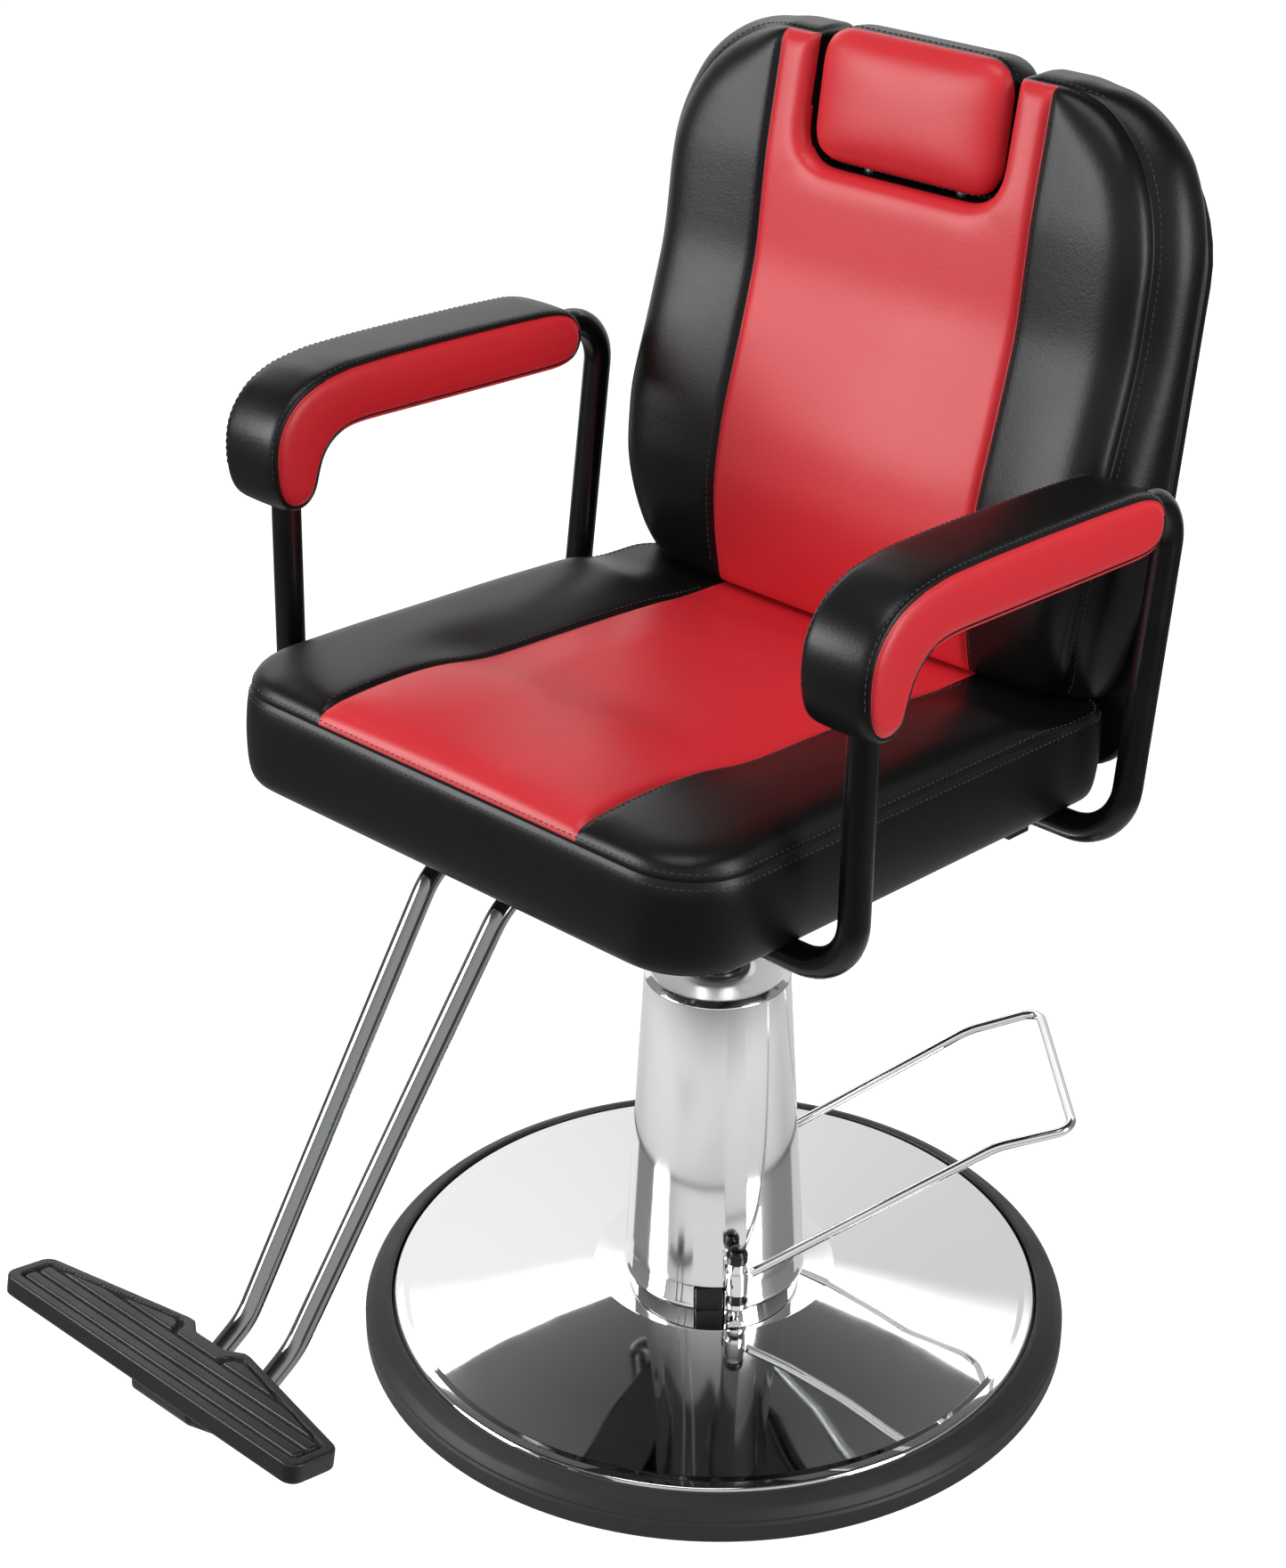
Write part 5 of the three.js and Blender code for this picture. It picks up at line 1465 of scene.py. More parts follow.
@dataclass
class ArmRest:
    """One bent arm tube and its padded rest, with red side panels and a black band over the top."""

    side: Side
    tube: float = 11.5
    centre: float = 287.0
    pad_width: float = 64.5
    roll: float = 6.0
    start: float = 143.3
    low: float = 514.7
    high: float = 791.0

    def route(self) -> list[Vector]:
        """The tube's centre line on the sitter's left, in the seat's frame."""
        corners = [
            (self.start, -187, self.low), (self.centre, -187, self.low), (self.centre, -198, self.high),
            (self.centre, 152, self.high), (self.centre, 131, self.low), (self.start, 131, self.low),
        ]
        return bent_route(corners, [45, 37, 37, 45], 14)

    def mirror(self) -> Matrix:
        """Puts a shape drawn for the left onto this side of the leaning seat unit."""
        return SEAT_LEAN @ Matrix.Diagonal((self.side.value, 1, 1, 1))

    def outline(self, inset: float) -> tuple[list[Vector], list[int]]:
        """The pad's side outline in (y, z), smoothed and set in, with its four corners.

        Args:
            inset: how far inside the measured edge it runs.

        Returns:
            The points, and where the nose, the top, the underside and the throat start.
        """
        nose = [(-230, 726), (-233.5, 748), (-232, 770), (-224, 786), (-210, 800.5), (-188, 810.5),
                (-154, 816.4), (-110, 818)]
        top = [(-50, 818.6), (20, 818.4), (66, 817.4), (86, 813), (98, 803), (103, 789)]
        tail = [(100, 776), (91, 767.5), (76, 764.2), (20, 764), (-60, 764), (-135, 764)]
        throat = [(-153, 763), (-166, 758.5), (-176, 750), (-181.5, 738), (-184, 724), (-189, 712.5),
                  (-199, 706), (-212, 705.5), (-223, 712)]
        corners = np.array([*nose, *top, *tail, *throat], dtype=float)
        ring = np.vstack([corners, corners[:1]])
        walked = np.concatenate([[0.0], np.cumsum(np.linalg.norm(np.diff(ring, axis=0), axis=1))])
        even = np.linspace(0, walked[-1], 640, endpoint=False)
        dense = np.stack([np.interp(even, walked, ring[:, 0]), np.interp(even, walked, ring[:, 1])], axis=1)
        weights = np.hanning(27) / np.hanning(27).sum()
        dense = sum(weight * np.roll(dense, shift - 13, axis=0) for shift, weight in enumerate(weights))
        run = np.roll(dense, -2, axis=0) - np.roll(dense, 2, axis=0)
        inward = np.stack([run[:, 1], -run[:, 0]], axis=1) / np.linalg.norm(run, axis=1)[:, None]
        moved = dense + inward * inset
        marks = [int(np.argmin(np.linalg.norm(dense - np.array(spot), axis=1)))
                 for spot in ((-231, 728), (88, 812), (91, 767.5), (-184, 724))]
        return [Vector(point) for point in moved], marks

    def pad(self) -> None:
        """Sews the pad's side panel and half of its band, mirrors them and stuffs the pad."""
        points, (nose, top, under, throat) = self.outline(self.roll)
        middle = Vector((-65.0, 770.0))

        def along(start: int, end: int) -> Callable[[float], Vector]:
            """Reads a stretch of the outline by its share of the way."""
            span = (end - start) % len(points)

            def read(share: float) -> Vector:
                """The point at a share of the way."""
                spot = start + span * share
                low = math.floor(spot)
                return points[low % len(points)].lerp(points[(low + 1) % len(points)], spot - low) - middle
            return read

        upper, rear = along(nose, top), along(top, under)
        lower, tip = along(under, throat), along(throat, nose)

        def plan(u: float, v: float) -> Point2:
            """Blends between the four stretches: u from the lobe to the rear, v from below to above."""
            spot = lower(1 - u).lerp(upper(u), v)
            spot += (tip(v) - lower(1).lerp(upper(0), v)) * max(0.0, 1 - u / 0.14) ** 1.6
            spot += (rear(1 - v) - lower(0).lerp(upper(1), v)) * max(0.0, 1 - (1 - u) / 0.14) ** 1.6
            return spot.x, spot.y

        half = self.pad_width / 2

        def rise(x: float, y: float, edge: float) -> float:
            """The rolled edge and the shallow crown of the side panel."""
            return half - 4.4 + 3.6 * rolled(edge, 9.0) + 1.3 * min(1.0, edge / 22)

        ends = [0.0, 0.004, 0.011, 0.02, 0.031, 0.044]
        middles = [float(u) for u in np.linspace(0.058, 0.942, 62)]
        columns = [*ends, *middles, *[1 - u for u in reversed(ends)]]
        rows = [0.0, 0.025, 0.06, 0.11, 0.18, 0.28, 0.39, 0.5, 0.61, 0.72, 0.82, 0.89, 0.94, 0.975, 1.0]
        band = [(1.0, -0.05), (2.6, -0.03), (4.2, 0.04), (5.3, 0.13), (5.8, 0.27), (6.1, 0.5), (6.3, 0.75),
                (6.4, 1.0)]
        tailor = Upholsterer(PadPattern(
            f"arm_pad_cover_{self.side.label}", columns, rows, plan, rise, band, 0.0, half=True,
        ))
        piece = tailor.sew()
        tailor.colour(piece, lambda x: True)
        for polygon in piece.data.polygons:  # the red runs on round the lower edge of the side
            spot = polygon.center / MM
            if spot.z > half - 7 and spot.x > -115 and polygon.normal.y < -0.3:
                polygon.material_index = 1
        apply_modifier(piece, "MIRROR", use_axis=(False, False, True), use_mirror_merge=True,
                       merge_threshold=1e-5)
        tailor.stuff(piece, lambda place, number: abs(place.z) < half - 3.5, 1.5, 1.6)
        place = self.mirror() @ Matrix((
            (0, 0, 1, self.centre * MM), (1, 0, 0, middle.x * MM), (0, 1, 0, middle.y * MM), (0, 0, 0, 1),
        ))
        tailor.finish(piece, place, 0.9)
        hand_over(piece, "black_vinyl", Body.SEAT, f"arm_pad_{self.side.label}")
        for label, sign in (("outer", 1), ("inner", -1)):
            edge, marks = self.outline(self.roll - 4.6)
            run = edge[marks[0] + 6:marks[1] + 12]
            out = self.centre + sign * (half - 5.5)
            line = [self.mirror() @ (Vector((out, spot.x, spot.y)) * MM) for spot in run]
            stitched(f"arm_stitch_{label}_{self.side.label}", piece, line, Body.SEAT)

    def build(self) -> None:
        """Makes this arm."""
        self.pad()
        piece = swept(f"arm_bar_{self.side.label}", self.route(), self.tube, 32)
        settle(piece, self.mirror())
        dress(piece, ENAMEL, Body.SEAT, f"arm_tube_{self.side.label}")


@dataclass
class FootRest:
    """Two bent chrome tubes and the ribbed plastic footplate on their ends."""

    tube: float = 8.2
    half: float = 157.0
    front: float = -577.0
    end_rear: float = -535.0
    hub_rear: float = -506.0
    top: float = 234.0
    thick: float = 15.0
    tilt: float = 7.9
    rim: float = 8.0
    recess: float = 2.8
    ribs: int = 3
    rib: float = 9.2
    groove: float = 3.5
    hub_half: float = 33.0
    notch_half: float = 15.0
    notch: float = 9.0
    boss_half: float = 39.0

    def route(self) -> list[Vector]:
        """A tube's centre line on the sitter's left, in the seat's frame."""
        corners = [
            (37, -108, 518.0), (37, -266.5, 518.0), (26, -461, 213.7), (26, -501, 187.5), (26, -527, 187.5),
        ]
        return bent_route(corners, [55, 55, 55], 14)

    @property
    def turn(self) -> Matrix:
        """Tips the tray's front up about its rear edge."""
        return leaning(self.tilt, self.hub_rear, self.top)

    @property
    def wall(self) -> float:
        """The Y at which the tray's floor ends behind, at the hub."""
        return self.hub_rear - 6.4

    @property
    def hub(self) -> float:
        """The Y behind the third long rib, where the hub's two short ones start."""
        return self.front + self.rim + self.ribs * (self.rib + self.groove) + self.groove

    def reach(self, y: float, gap: float) -> float:
        """How far out a place with that y may lie, for a gap to the tray's border."""
        slope = (self.half - self.hub_half) / (self.hub_rear - self.end_rear)
        return min(self.half - self.rim - gap, self.hub_half + 1 + (self.wall - gap - y) * slope)

    def tray(self) -> Piece:
        """Cuts the tray, with a notch behind and a border round its sunken floor.

        Returns:
            The tray.
        """
        rear, out, inner = self.hub_rear, self.hub_half, self.notch_half
        right = [
            (self.half, self.front), (self.half, self.end_rear), (out, rear), (out - 6, rear),
            (inner, rear - self.notch),
        ]
        outline = fillet(right + [(-x, y) for x, y in reversed(right)],
                         [10, 10, 6, 2, 4, 4, 2, 6, 10, 10], 6, closed=True)
        piece = plate("footplate_tray", outline, self.top - self.thick, self.top)
        soften(piece, 1.6, 3, 50)
        ends = self.half - self.rim
        right = [(ends, self.front + self.rim), (ends, self.end_rear - 6), (out + 1, self.wall),
                 (out - 7, self.wall - 5), (22, self.hub)]
        floor = fillet(right + [(-x, y) for x, y in reversed(right)],
                       [5, 5, 3, 2, 1.5, 1.5, 2, 3, 5, 5], 6, closed=True)
        carve(piece, plate("tray_recess", floor, self.top - self.recess, self.top + 5))
        return piece

    def rib_bars(self) -> list[Piece]:
        """Cuts the long ribs, whose ends follow the border, and a short one on each side of the notch.

        Returns:
            The ribs.
        """
        shapes = []
        for number in range(self.ribs):
            near = self.front + self.rim + self.groove + number * (self.rib + self.groove)
            far = near + self.rib
            right = [(self.reach(near, self.groove), near), (self.reach(far, self.groove), far)]
            shapes.append(right + [(-x, y) for x, y in reversed(right)])
        rear = self.wall - self.groove
        tip = [(27, self.hub), (self.reach(self.hub, self.groove), self.hub), (38, rear), (31, rear - 3)]
        shapes += [tip, [(-x, y) for x, y in reversed(tip)]]
        bars = []
        for number, shape in enumerate(shapes):
            bar = plate(f"rib_{number}", shape, self.top - self.recess - 1, self.top - 0.1)
            soften(bar, 1.3, 3)
            bars.append(bar)
        return bars

    def boss(self) -> Piece:
        """Shapes the boss below the tray that takes the tubes, narrower in front.

        Returns:
            The boss.
        """
        side = [(-562, 228), (-562, 203), (-540, 186), (-524, 175.5), (-495, 175.5), (-492, 199), (-509, 221)]
        piece = plate("footplate_boss", [(-y, z) for y, z in side], -self.boss_half, self.boss_half)
        piece.data.transform(Matrix(((0, 0, 1, 0), (-1, 0, 0, 0), (0, 1, 0, 0), (0, 0, 0, 1))))
        for corner in piece.data.vertices:
            if corner.co.y < -550 * MM:
                corner.co.x *= 0.8
        face_out(piece)
        soften(piece, 3.0, 4)
        return piece

    def footplate(self) -> None:
        """Moulds the footplate: the tray, its ribs and its boss as one, with the tubes' holes."""
        piece, bars = self.tray(), self.rib_bars()
        for item in [piece, *bars]:
            settle(item, self.turn)
        select_only(piece, self.boss(), *bars)
        bpy.ops.object.join()
        apply_modifier(piece, "REMESH", mode="VOXEL", voxel_size=0.85 * MM, adaptivity=0.0)
        apply_modifier(piece, "SMOOTH", factor=0.5, iterations=2)
        apply_modifier(piece, "DECIMATE", ratio=0.2)
        for side in Side:
            line = [Vector((-side.value * p.x, p.y, p.z)) for p in self.route()]
            carve(piece, swept("socket", line, self.tube + 0.6))
        smooth(piece, 45)
        settle(piece, SEAT_LEAN)
        dress(piece, PLASTIC, Body.SEAT, "footplate")
        back = (SEAT_LEAN @ self.turn).inverted()

        def sunk(place: Vector) -> bool:
            """Tells whether a place is on the floor of the tray, between the ribs."""
            spot = back @ (place * MM) / MM
            inside = abs(spot.x) < self.reach(spot.y, -1) and spot.y > self.front + self.rim - 1
            return inside and -self.recess - 0.6 < spot.z - self.top < -self.recess * 0.45

        # the floor between the ribs is coloured darker than the ribs: painted shade in the grooves, on a
        # rougher plastic
        part_finish(piece, SHADED_GROOVE_PLASTIC, sunk)

    def build(self) -> None:
        """Makes the footrest and finishes its clamp."""
        for side in Side:
            piece = swept(f"footrest_bar_{side.label}", self.route(), self.tube, 32)
            settle(piece, SEAT_LEAN @ Matrix.Diagonal((side.value, 1, 1, 1)))
            # the tubes take the darker chrome, whose colour is painted shade
            dress(piece, SHADED_TUBE_CHROME, Body.SEAT, f"footrest_tube_{side.label}")
        self.footplate()
        refinish(ENAMEL, "footrest_clamp")
        refinish(STEEL, "footrest_bolt_1", "footrest_bolt_2")


@dataclass
class BackPad:
    """The waisted back: a red middle panel between black wings, a notch for the headrest, and its shell."""

    half_width: float = 254.0
    side_flare: float = 22.0  # how much further out the sides are behind than at the front seam
    height: float = 456.0
    corner: float = 126.0
    rear: float = 57.7
    panel: float = 129.0
    groove: float = 3.4
    notch_half: float = 96.0
    notch_bottom: float = 357.0
    notch_corner: float = 30.0
    swell: list[Point2] = field(default_factory=lambda: [
        (0, -6), (30, 6), (60, 14), (95, 20), (147, 18), (215, 7), (274, -1), (360, 1), (456, -4),
    ])
    waist: list[Point2] = field(default_factory=lambda: [
        (0, 231), (36, 239), (91, 250), (149, 254), (456, 254),
    ])
    wing: list[Point2] = field(default_factory=lambda: [
        (0, 1), (60, 7), (150, 9), (260, 6), (400, 4), (456, 2),
    ])

    def plan(self, x: float, y: float) -> Point2:
        """Shapes the face: round top corners, the waist, and the notch's round corners.

        Args:
            x: across.
            y: up the board, from its middle.

        Returns:
            The point on the face.
        """
        half = self.height / 2
        corner = self.corner if y > 0 else 34.0
        across, up = round_corner(x, y, self.half_width, half, corner, corner)
        reach = abs(across)
        width = knots(self._waisted, up + half) - self.side_flare
        if reach > self.panel:
            reach = self.panel + (reach - self.panel) * (width - self.panel) / (self.half_width - self.panel)
        across = math.copysign(reach, across)
        return self.notch(across, up)

    def notch(self, x: float, y: float) -> Point2:
        """Rounds the two lower corners of the notch by drawing nearby points towards their arcs.

        Args:
            x: across.
            y: up, from the middle.

        Returns:
            The moved point.
        """
        corner = Vector((math.copysign(self.notch_half, x), self.notch_bottom - self.height / 2))
        centre = corner + Vector((-math.copysign(self.notch_corner, x), self.notch_corner))
        away = Vector((x, y)) - centre
        radius = away.length
        outer = self.notch_corner * 2.0
        if radius < 1e-6 or radius > outer or away.x * math.copysign(1, x) <= 0 or away.y >= 0:
            return x, y
        bent = max(abs(away.x), abs(away.y))
        share = (bent - self.notch_corner) / (outer - self.notch_corner)
        mixed = bent + (radius - bent) * max(0.0, min(1.0, share))
        moved = centre + away * (mixed / radius)
        return moved.x, moved.y

    def rise(self, x: float, y: float, edge: float) -> float:
        """How far forward of the board's plane the face stands at a point.

        Args:
            x: across.
            y: up, from the middle.
            edge: the distance to the face's border.

        Returns:
            The distance forward in millimetres.
        """
        up = y + self.height / 2
        forward = knots(self._swollen, up)
        reach = abs(x)
        if reach > self.panel:
            share = min(1.0, (reach - self.panel) / 80)
            forward += knots(self.wing, up) * math.sin(math.pi * 0.5 * share)
        else:
            forward += 2.0 * (1 - (reach / self.panel) ** 2)
        wing = eased((reach - self.panel) / 40)
        drop = (11 + 8 * wing) * (1 - rolled(edge, 15 + 17 * wing, 2.2))
        return forward - self.groove * seam_groove(reach, self.panel, edge) - drop

    def flare(self, x: float, y: float) -> float:
        """How far the band reaches out behind a place on the rim: least in the notch."""
        if abs(x) < self.notch_half + 4:
            return 0.14
        side = min(1.0, max(0.0, (abs(x) - 150) / 60))
        top = y + self.height / 2 > self.height - 60
        return 0.32 + 0.68 * side if top or y > 0 else 1.0

    def clamp(self, x: float, y: float, forward: float) -> Point3:
        """Keeps the bottom of the pad clear of the seat that it stands on."""
        lean = math.radians(BACK_DEGREES)
        lowest = (2.0 - forward * math.sin(lean)) / math.cos(lean) - self.height / 2
        return x, max(y, lowest), forward

    def keep(self, x: float, y: float) -> bool:
        """Tells whether a cell of the pattern is outside the notch."""
        return abs(x) > self.notch_half or y + self.height / 2 < self.notch_bottom

    def place(self) -> Matrix:
        """Takes (across, up from the middle, forward) to the chair."""
        return on_board(self.height / 2)

    def rows(self) -> list[float]:
        """Grid lines up the board, with one on the bottom of the notch."""
        half = self.height / 2
        cut = self.notch_bottom - half
        low = list(np.linspace(-half + 11, cut - 7, 34))
        high = list(np.linspace(cut + 7, half - 9, 10))
        return [-half, -half + 2.5, -half + 6, *low, cut - 3.0, cut, cut + 3.0, *high,
                half - 5, half - 2, half]

    def columns(self) -> list[float]:
        """Grid lines across, crowded at the panel seams and on the notch's walls."""
        half = [0, 9, 18, 27, 36, 45, 54, 62, 70, 77, 83, 88, 92, self.notch_half, 99, 103, 108, 114, 120,
                124.5, 127.4, self.panel, 130.6, 133.5, 138, 146, 155, 165, 175, 185, 195, 205, 215, 225, 233,
                240, 245.5, 250, 252.5, self.half_width]
        return [-x for x in reversed(half[1:])] + [float(x) for x in half]

    def build(self) -> None:
        """Sews, stuffs and stitches the back, and makes its shell."""
        self._swollen = flowing(self.swell, 0, self.height)
        self._waisted = flowing(self.waist, 0, self.height)
        shares = [(-0.03, 0.04), (0.10, 0.06), (0.30, 0.11), (0.56, 0.21), (0.80, 0.36), (0.96, 0.54),
                  (1.0, 0.72), (0.96, 0.86), (0.86, 0.96), (0.80, 1.0)]
        band = [(out * self.side_flare, share) for out, share in shares]
        tailor = Upholsterer(PadPattern(
            "back_cover", self.columns(), self.rows(), self.plan, self.rise, band, -self.rear,
            keep=self.keep, clamp=self.clamp, flare=self.flare,
        ))
        piece = tailor.sew()
        tailor.colour(piece, lambda x: abs(x) < self.panel)
        self.tint_notch(piece)
        rim = set(tailor.rim)

        def held(place: Vector, number: int) -> bool:
            """Tells which corners the seams, the shell and the seat hold down."""
            seam = abs(abs(place.x) - self.panel) < 1.0 and place.z > -30
            return seam or place.z < -30 or place.y < -self.height / 2 + 30 or number in rim

        tailor.stuff(piece, held, 2.4, 4.5)
        bore_posts(piece, 8.0, self.notch_bottom - self.height / 2, -200, 25)
        tailor.finish(piece, self.place(), 0.85)
        hand_over(piece, "black_vinyl", Body.BACK, "back_cushion")
        self.stitch(piece)
        self.shell()
        refinish(STEEL, "recline_crossbar")
        refinish(ENAMEL, "hinge_arm_left", "hinge_arm_right", "headrest_socket_left", "headrest_socket_right")

    def tint_notch(self, piece: Piece) -> None:
        """Carries the red panel into the front half of the notch's wall.

        Args:
            piece: the sewn form.
        """
        for polygon in piece.data.polygons:
            spot = polygon.center / MM
            inside = abs(spot.x) < self.notch_half + 3 and spot.y + self.height / 2 > self.notch_bottom - 6
            if inside and spot.z > -12:
                polygon.material_index = 1

    def border(self, inset: float) -> list[Point2]:
        """The outer border of one half of the face in (across, up from the middle).

        Args:
            inset: how far it is set in.

        Returns:
            The points, from the bottom of the side to the notch.
        """
        half = self.height / 2
        ring: list[Point2] = []
        for y in np.linspace(-half + 8, half, 60):
            ring.append((self.half_width, float(y)))
        for x in np.linspace(self.half_width, self.notch_half + 8, 40):
            ring.append((float(x), half))
        moved = [self.plan(x, y) for x, y in ring]
        return [(x * (1 - inset / self.half_width), y * (1 - inset / half)) for x, y in moved]

    def stitch(self, cover: Piece) -> None:
        """Runs a row round each side of the border and one along each panel seam.

        Args:
            cover: the finished back.
        """
        half = self.height / 2
        place = self.place()
        for side in Side:
            line = [
                place @ (Vector((side.value * x, y, self.rise(x, y, 0.0) - 3.0)) * MM)
                for x, y in self.border(-STITCH_GAP)
            ]
            stitched(f"back_stitch_band_{side.label}", cover, line, Body.BACK)
            seam = seam_line(self, place, side, (-half + 20, half - 12), 60)
            stitched(f"back_stitch_panel_{side.label}", cover, seam, Body.BACK)

    def shell(self) -> None:
        """Builds the vinyl-covered shell behind the pad, with a rolled edge."""
        half = self.half_width - 4
        low = -57.9
        high = self.height - 4
        notch = self.notch_half
        corners = [
            (-half, low), (half, low), (half, high), (notch, high), (notch, self.notch_bottom),
            (-notch, self.notch_bottom), (-notch, high), (-half, high),
        ]
        radii = [45, 45, self.corner - 3, 16, self.notch_corner, self.notch_corner, 16, self.corner - 3]
        piece = plate("back_board_cover", fillet(corners, radii, 12, closed=True), -70.0, -58.0)
        for rise in (-1, 1):
            inset(piece, (0, 0, rise), 10.0, 0.0)
        soften(piece, 4.0, 5, 60)
        smooth(piece, 60)
        settle(piece, on_board())
        dress(piece, BLACK_VINYL, Body.BACK, "back_shell")



@dataclass
class HeadRest:
    """The small red headrest with its black band, on two steel posts."""

    half_width: float = 91.0
    bottom: float = 362.0
    top: float = 466.0
    behind: float = 50.0
    corner: float = 26.0
    front: float = -7.0
    crown: float = 9.0

    def rise(self, x: float, y: float, edge: float) -> float:
        """How far forward of the board's plane the face stands."""
        half = (self.top - self.bottom) / 2
        loft = (1 - (x / self.half_width) ** 4) * (1 - (y / half) ** 4)
        return self.front + self.crown * max(0.0, loft) - 9.0 * (1 - rolled(edge, 14.0))

    def build(self) -> None:
        """Sews, stuffs and stitches the headrest."""
        half = (self.top - self.bottom) / 2
        band = [(-0.8, 0.04), (0.3, 0.10), (1.4, 0.22), (1.9, 0.45), (1.8, 0.65), (1.0, 0.82), (-1.2, 0.95),
                (-3.0, 1.0)]
        tailor = Upholsterer(PadPattern(
            "headrest_cover", spread(self.half_width, [], 7.0), spread(half, [], 7.0),
            lambda x, y: round_corner(x, y, self.half_width, half, self.corner, self.corner),
            self.rise, band, -self.behind, back_scale=1 - 3.0 / self.half_width,
        ))
        piece = tailor.sew()
        tailor.colour(piece, lambda x: True)
        rim = set(tailor.rim)
        tailor.stuff(piece, lambda place, number: number in rim or place.z < -22, 2.5, 3.5)
        bore_posts(piece, 5.3, -half, -60, 60.5)
        place = on_board((self.bottom + self.top) / 2)
        tailor.finish(piece, place, 0.9)
        hand_over(piece, "red_vinyl", Body.HEADREST, "headrest_cushion")
        outline = fillet(
            rectangle((-self.half_width, -half), (self.half_width, half)), [self.corner] * 4, 10, closed=True,
        )
        line = [place @ (Vector((x * 1.01, y * 1.01, self.rise(x, y, 0) - 5)) * MM) for x, y in outline]
        stitched("headrest_stitch", piece, [*line, line[0]], Body.HEADREST)
        refinish(STEEL, "headrest_post_left", "headrest_post_right")


@dataclass
class UnderFrame:
    """The painted steel under the seat, the gas strut and the recline lever with its grip."""

    lever_out: float = 258.0
    lever_y: float = 0.0
    lever_z: float = 503.0
    lever_length: float = 110.0

    def lever(self) -> None:
        """Bends the lever and moulds its ribbed grip."""
        route = bent_route([
            (-143.3, self.lever_y, self.lever_z), (-self.lever_out, self.lever_y, self.lever_z),
            (-self.lever_out, self.lever_y - self.lever_length, self.lever_z),
        ], [16], 12)
        piece = swept("lever_rod", route, 5.0, 20)
        settle(piece, SEAT_LEAN)
        dress(piece, ENAMEL, Body.LEVER, "recline_lever")
        profile: list[Point2] = [(0.0, 0.0), (5.5, 0.0), (7.6, 2.2)]
        for ring in range(9):
            start = 7 + ring * 5.4
            profile += [(8.0, start), (8.0, start + 3.2), (7.1, start + 3.9), (7.1, start + 4.7)]
        profile += [(8.0, 56.5), (8.0, 60.0), (6.6, 62.0), (5.35, 62.0), (5.35, 6.0), (0.0, 6.0), (0.0, 0.0)]
        grip = spun("lever_handle", profile, 40)
        smooth(grip, 40)
        settle(grip, SEAT_LEAN @ Matrix.Translation((
            -self.lever_out * MM, (self.lever_y - self.lever_length - 6) * MM, self.lever_z * MM,
        )) @ Matrix.Rotation(math.radians(-90), 4, "X"))
        dress(grip, PLASTIC, Body.LEVER, "lever_grip")

    def build(self) -> None:
        """Makes the lever and finishes the frame."""
        self.lever()
        refinish(ENAMEL, "swivel_hub", "seat_plate", "seat_rail_left", "seat_rail_right", "strut_cylinder",
                 "strut_bracket")
        refinish(STEEL, "recline_pin_left", "recline_pin_right", "strut_rod",
                 *[f"seat_plate_bolt_{n}" for n in range(1, 5)], *[f"arm_bolt_{n}" for n in range(1, 5)])


# ---------- the studio


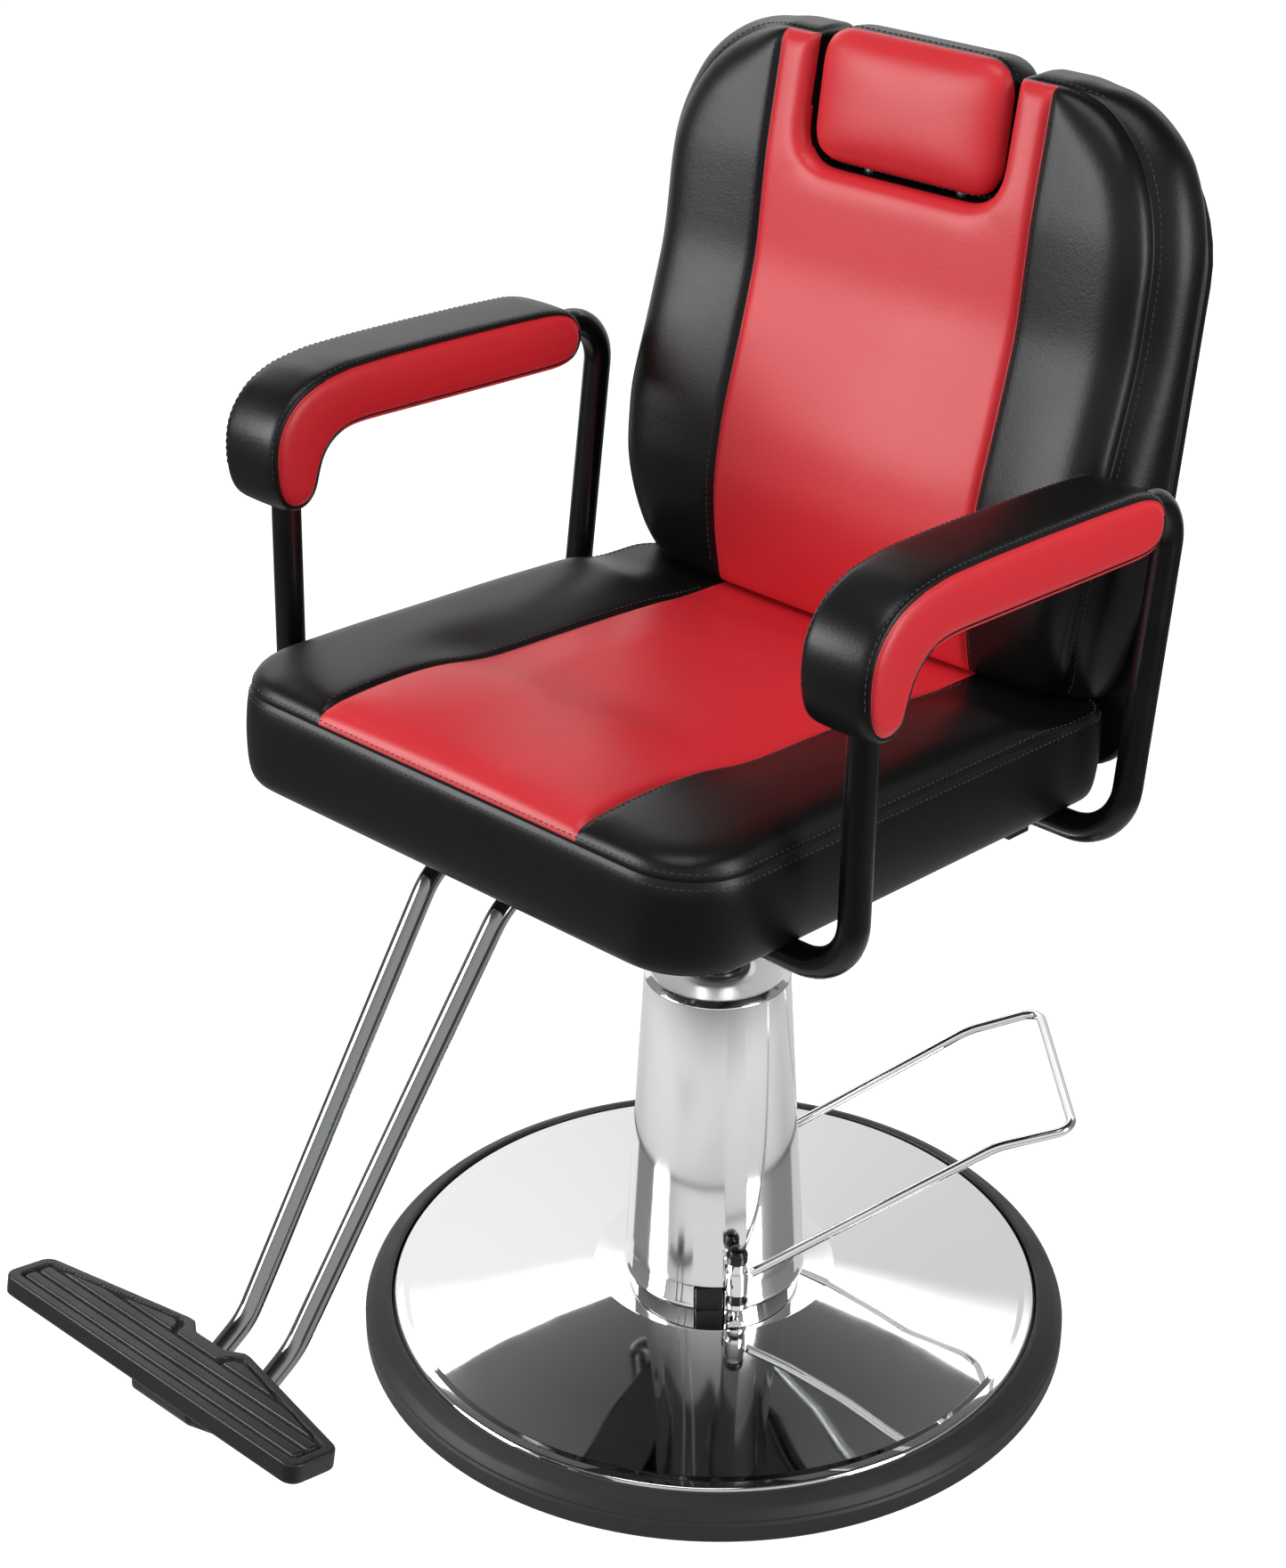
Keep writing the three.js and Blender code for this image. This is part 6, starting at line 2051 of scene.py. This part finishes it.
@dataclass
class Studio:
    """The camera, the white sweep and the soft lights."""

    place: Point3 = (1.415080, -1.604659, 1.622296)
    heading: float = -0.740134508
    pitch: float = 0.45232016
    roll: float = 0.00512919
    lens: float = 70.789
    sensor: float = 36.0
    shift: Point2 = (-0.019004, -0.057693)
    wall: float = 0.85
    ceiling: float = 0.12
    ambient: float = 0.22
    floor_glow: float = 0.14
    pool: float = 0.62  # radius of the bright part of the sweep, in metres
    shade: float = 0.32  # how bright the wall is away from the lens's side
    lens_side: Point3 = (0.661, -0.75, 0)  # the level direction in which the wall is brightest
    card_radius: float = 2.1
    card_ends: Point2 = (80, 180)  # in degrees from +X
    card_run: Point3 = (-0.755, -0.656, 0)  # the level direction from its right end to its left end
    card: Point2 = (0.70, 1.00)  # the white card's glow at its right and left end
    card_top: float = 4.5  # how many times brighter the card is above the chair
    aim: Point3 = (0, 0, 0.6)  # what the lamps look at

    def camera(self) -> None:
        """Sets the camera up as the photograph's was."""
        flat = math.cos(self.pitch)
        forward = Vector((
            math.sin(self.heading) * flat, math.cos(self.heading) * flat, -math.sin(self.pitch),
        ))
        level = Vector((math.cos(self.heading), -math.sin(self.heading), 0))
        upright = level.cross(forward)
        right = level * math.cos(self.roll) + upright * math.sin(self.roll)
        up = upright * math.cos(self.roll) - level * math.sin(self.roll)
        data = bpy.data.cameras.new("photo_camera")
        data.lens, data.sensor_width, data.sensor_fit = self.lens, self.sensor, "AUTO"
        data.shift_x, data.shift_y = self.shift
        data.clip_start, data.clip_end = 0.05, 60
        eye = bpy.data.objects.new("photo_camera", data)
        turn = Matrix((right, up, -forward)).transposed().to_4x4()
        eye.matrix_world = Matrix.Translation(self.place) @ turn
        bpy.context.scene.collection.objects.link(eye)
        bpy.context.scene.camera = eye

    def softbox(self, name: str, place: Point3, size: Point2, power: float) -> None:
        """Hangs a soft rectangular light that faces the chair.

        Args:
            name: its name.
            place: where it hangs, in metres.
            size: its width and height.
            power: its power in watts.
        """
        data = bpy.data.lights.new(name, "AREA")
        data.shape, data.size, data.size_y, data.energy = "RECTANGLE", size[0], size[1], power
        lamp = bpy.data.objects.new(name, data)
        lamp.location = place
        look = Vector(self.aim) - Vector(place)
        lamp.rotation_euler = look.to_track_quat("-Z", "Y").to_euler()
        bpy.context.scene.collection.objects.link(lamp)

    def sky(self) -> None:
        """Surrounds the chair with a room that is pure white to the lens and dimmer to everything else."""
        world = bpy.data.worlds.new("studio_room")
        world.use_nodes = True
        tree = world.node_tree
        tree.nodes.clear()
        facing = add_node(tree, "ShaderNodeTexCoord").outputs["Generated"]
        height = add_node(tree, "ShaderNodeSeparateXYZ", None, {"Vector": facing}).outputs["Z"]
        walls = remap(tree, height, (0.45, 0.9), (self.wall, self.ceiling), "SMOOTHSTEP")
        behind = add_node(tree, "ShaderNodeVectorMath", {"operation": "DOT_PRODUCT"}, {
            0: facing, 1: self.lens_side,
        })
        side = remap(tree, behind.outputs["Value"], (0.0, 0.8), (self.shade, 1.0), "SMOOTHSTEP")
        around = add_node(tree, "ShaderNodeMath", {"operation": "MULTIPLY"}, {0: walls, 1: side})
        path = add_node(tree, "ShaderNodeLightPath")
        mirrored = add_node(tree, "ShaderNodeBackground", None, {"Strength": around.outputs["Value"]})
        ambient = add_node(tree, "ShaderNodeBackground", None, {"Strength": self.ambient})
        paper = add_node(tree, "ShaderNodeBackground", None, {"Strength": 1.0})
        for shader in (mirrored, ambient, paper):
            shader.inputs["Color"].default_value = (1, 1, 1, 1)
        indirect = add_node(tree, "ShaderNodeMixShader", None, {
            0: path.outputs["Is Diffuse Ray"], 1: mirrored.outputs[0], 2: ambient.outputs[0],
        })
        mixed = add_node(tree, "ShaderNodeMixShader", None, {
            0: path.outputs["Is Camera Ray"], 1: indirect.outputs[0], 2: paper.outputs[0],
        })
        add_node(tree, "ShaderNodeOutputWorld", None, {"Surface": mixed.outputs[0]})
        bpy.context.scene.world = world

    def paint(self, sheet: Piece, name: str) -> tuple[Tree, Node]:
        """Gives one of the studio's sheets a paint that can glow white.

        Args:
            sheet: the sheet.
            name: the paint's name.

        Returns:
            The paint's nodes and its shader.
        """
        made = bpy.data.materials.new(name)
        made.use_nodes = True
        sheet.data.materials.append(made)
        shader = made.node_tree.nodes["Principled BSDF"]
        shader.inputs["Emission Color"].default_value = (1, 1, 1, 1)
        return made.node_tree, shader

    def floor(self) -> None:
        """Lays the white sweep, which glows for the lens and stays dimmer in reflections."""
        bpy.ops.mesh.primitive_plane_add(size=16, location=(0, 0, -0.0005))
        sheet = bpy.context.object
        sheet.name = "studio_floor"
        tree, shader = self.paint(sheet, "floor_paint")
        shader.inputs["Roughness"].default_value = 0.9
        seen = add_node(tree, "ShaderNodeLightPath").outputs["Is Camera Ray"]
        place = add_node(tree, "ShaderNodeTexCoord").outputs["Object"]
        away = add_node(tree, "ShaderNodeVectorMath", {"operation": "LENGTH"}, {0: place}).outputs["Value"]
        pool = remap(tree, away, (self.pool, self.pool + 0.55), (0.62, 0.12), "SMOOTHSTEP")
        white = add_node(tree, "ShaderNodeMix", None, {0: seen, 2: pool, 3: 0.25}).outputs[0]
        tree.links.new(white, shader.inputs["Base Color"])
        hidden = add_node(tree, "ShaderNodeMath", {"operation": "MULTIPLY"}, {0: pool, 1: self.floor_glow})
        glow = add_node(tree, "ShaderNodeMix", None, {0: seen, 2: hidden.outputs[0], 3: 0.97}).outputs[0]
        tree.links.new(glow, shader.inputs["Emission Strength"])

    def reflector(self) -> None:
        """Curves a tall white card round the rear left, brighter above the chair than beside its foot."""
        bpy.ops.mesh.primitive_cylinder_add(
            vertices=96, radius=self.card_radius, depth=2.0, end_fill_type="NOTHING", location=(0, 0, 1.01),
        )
        sheet = bpy.context.object
        sheet.name = "studio_card"
        bpy.ops.object.mode_set(mode="EDIT")
        grid = bmesh.from_edit_mesh(sheet.data)
        for face in grid.faces:
            spot = face.calc_center_median()
            angle = math.degrees(math.atan2(spot.y, spot.x)) % 360
            face.select = not self.card_ends[0] < angle < self.card_ends[1]
        bmesh.update_edit_mesh(sheet.data)
        bpy.ops.mesh.delete(type="FACE")
        bpy.ops.object.mode_set(mode="OBJECT")
        tree, shader = self.paint(sheet, "card_paint")
        shader.inputs["Base Color"].default_value = (0, 0, 0, 1)
        shader.inputs["Specular IOR Level"].default_value = 0.0
        place = add_node(tree, "ShaderNodeTexCoord").outputs["Object"]
        along = add_node(tree, "ShaderNodeVectorMath", {"operation": "DOT_PRODUCT"}, {
            0: place, 1: self.card_run,
        })
        glow = remap(tree, along.outputs["Value"], (-0.9, 0.9), self.card, "SMOOTHSTEP")
        height = add_node(tree, "ShaderNodeSeparateXYZ", None, {"Vector": place}).outputs["Z"]
        above = remap(tree, height, (0.45, 0.95), (1.0, self.card_top), "SMOOTHSTEP")
        shine = add_node(tree, "ShaderNodeMath", {"operation": "MULTIPLY"}, {0: glow, 1: above})
        tree.links.new(shine.outputs["Value"], shader.inputs["Emission Strength"])
        sheet.visible_camera = False
        sheet.visible_shadow = False

    def build(self) -> None:
        """Sets the studio up."""
        scene = bpy.context.scene
        scene.view_settings.view_transform = "Standard"
        scene.view_settings.look = "None"
        self.camera()
        self.sky()
        self.floor()
        self.reflector()
        self.softbox("front_left_light", (-1.35, -1.85, 1.35), (1.0, 1.0), 40)
        self.softbox("right_light", (1.75, 0.15, 1.15), (0.6, 1.3), 20)
        self.softbox("overhead_light", (0.1, -0.5, 3.1), (1.3, 1.3), 22)


def main() -> None:
    """Builds the studio and the chair, logging each assembly as it goes."""
    Studio().build()
    assemblies = [
        RoundFoot(), PumpColumn(), FootPedal(), SeatPad(), ArmRest(Side.LEFT), ArmRest(Side.RIGHT),
        FootRest(), BackPad(), HeadRest(), UnderFrame(),
    ]
    for assembly in assemblies:
        LOG.info("building %s", type(assembly).__name__)
        assembly.build()
    bpy.ops.object.select_all(action="DESELECT")


if __name__ == "__main__":
    main()
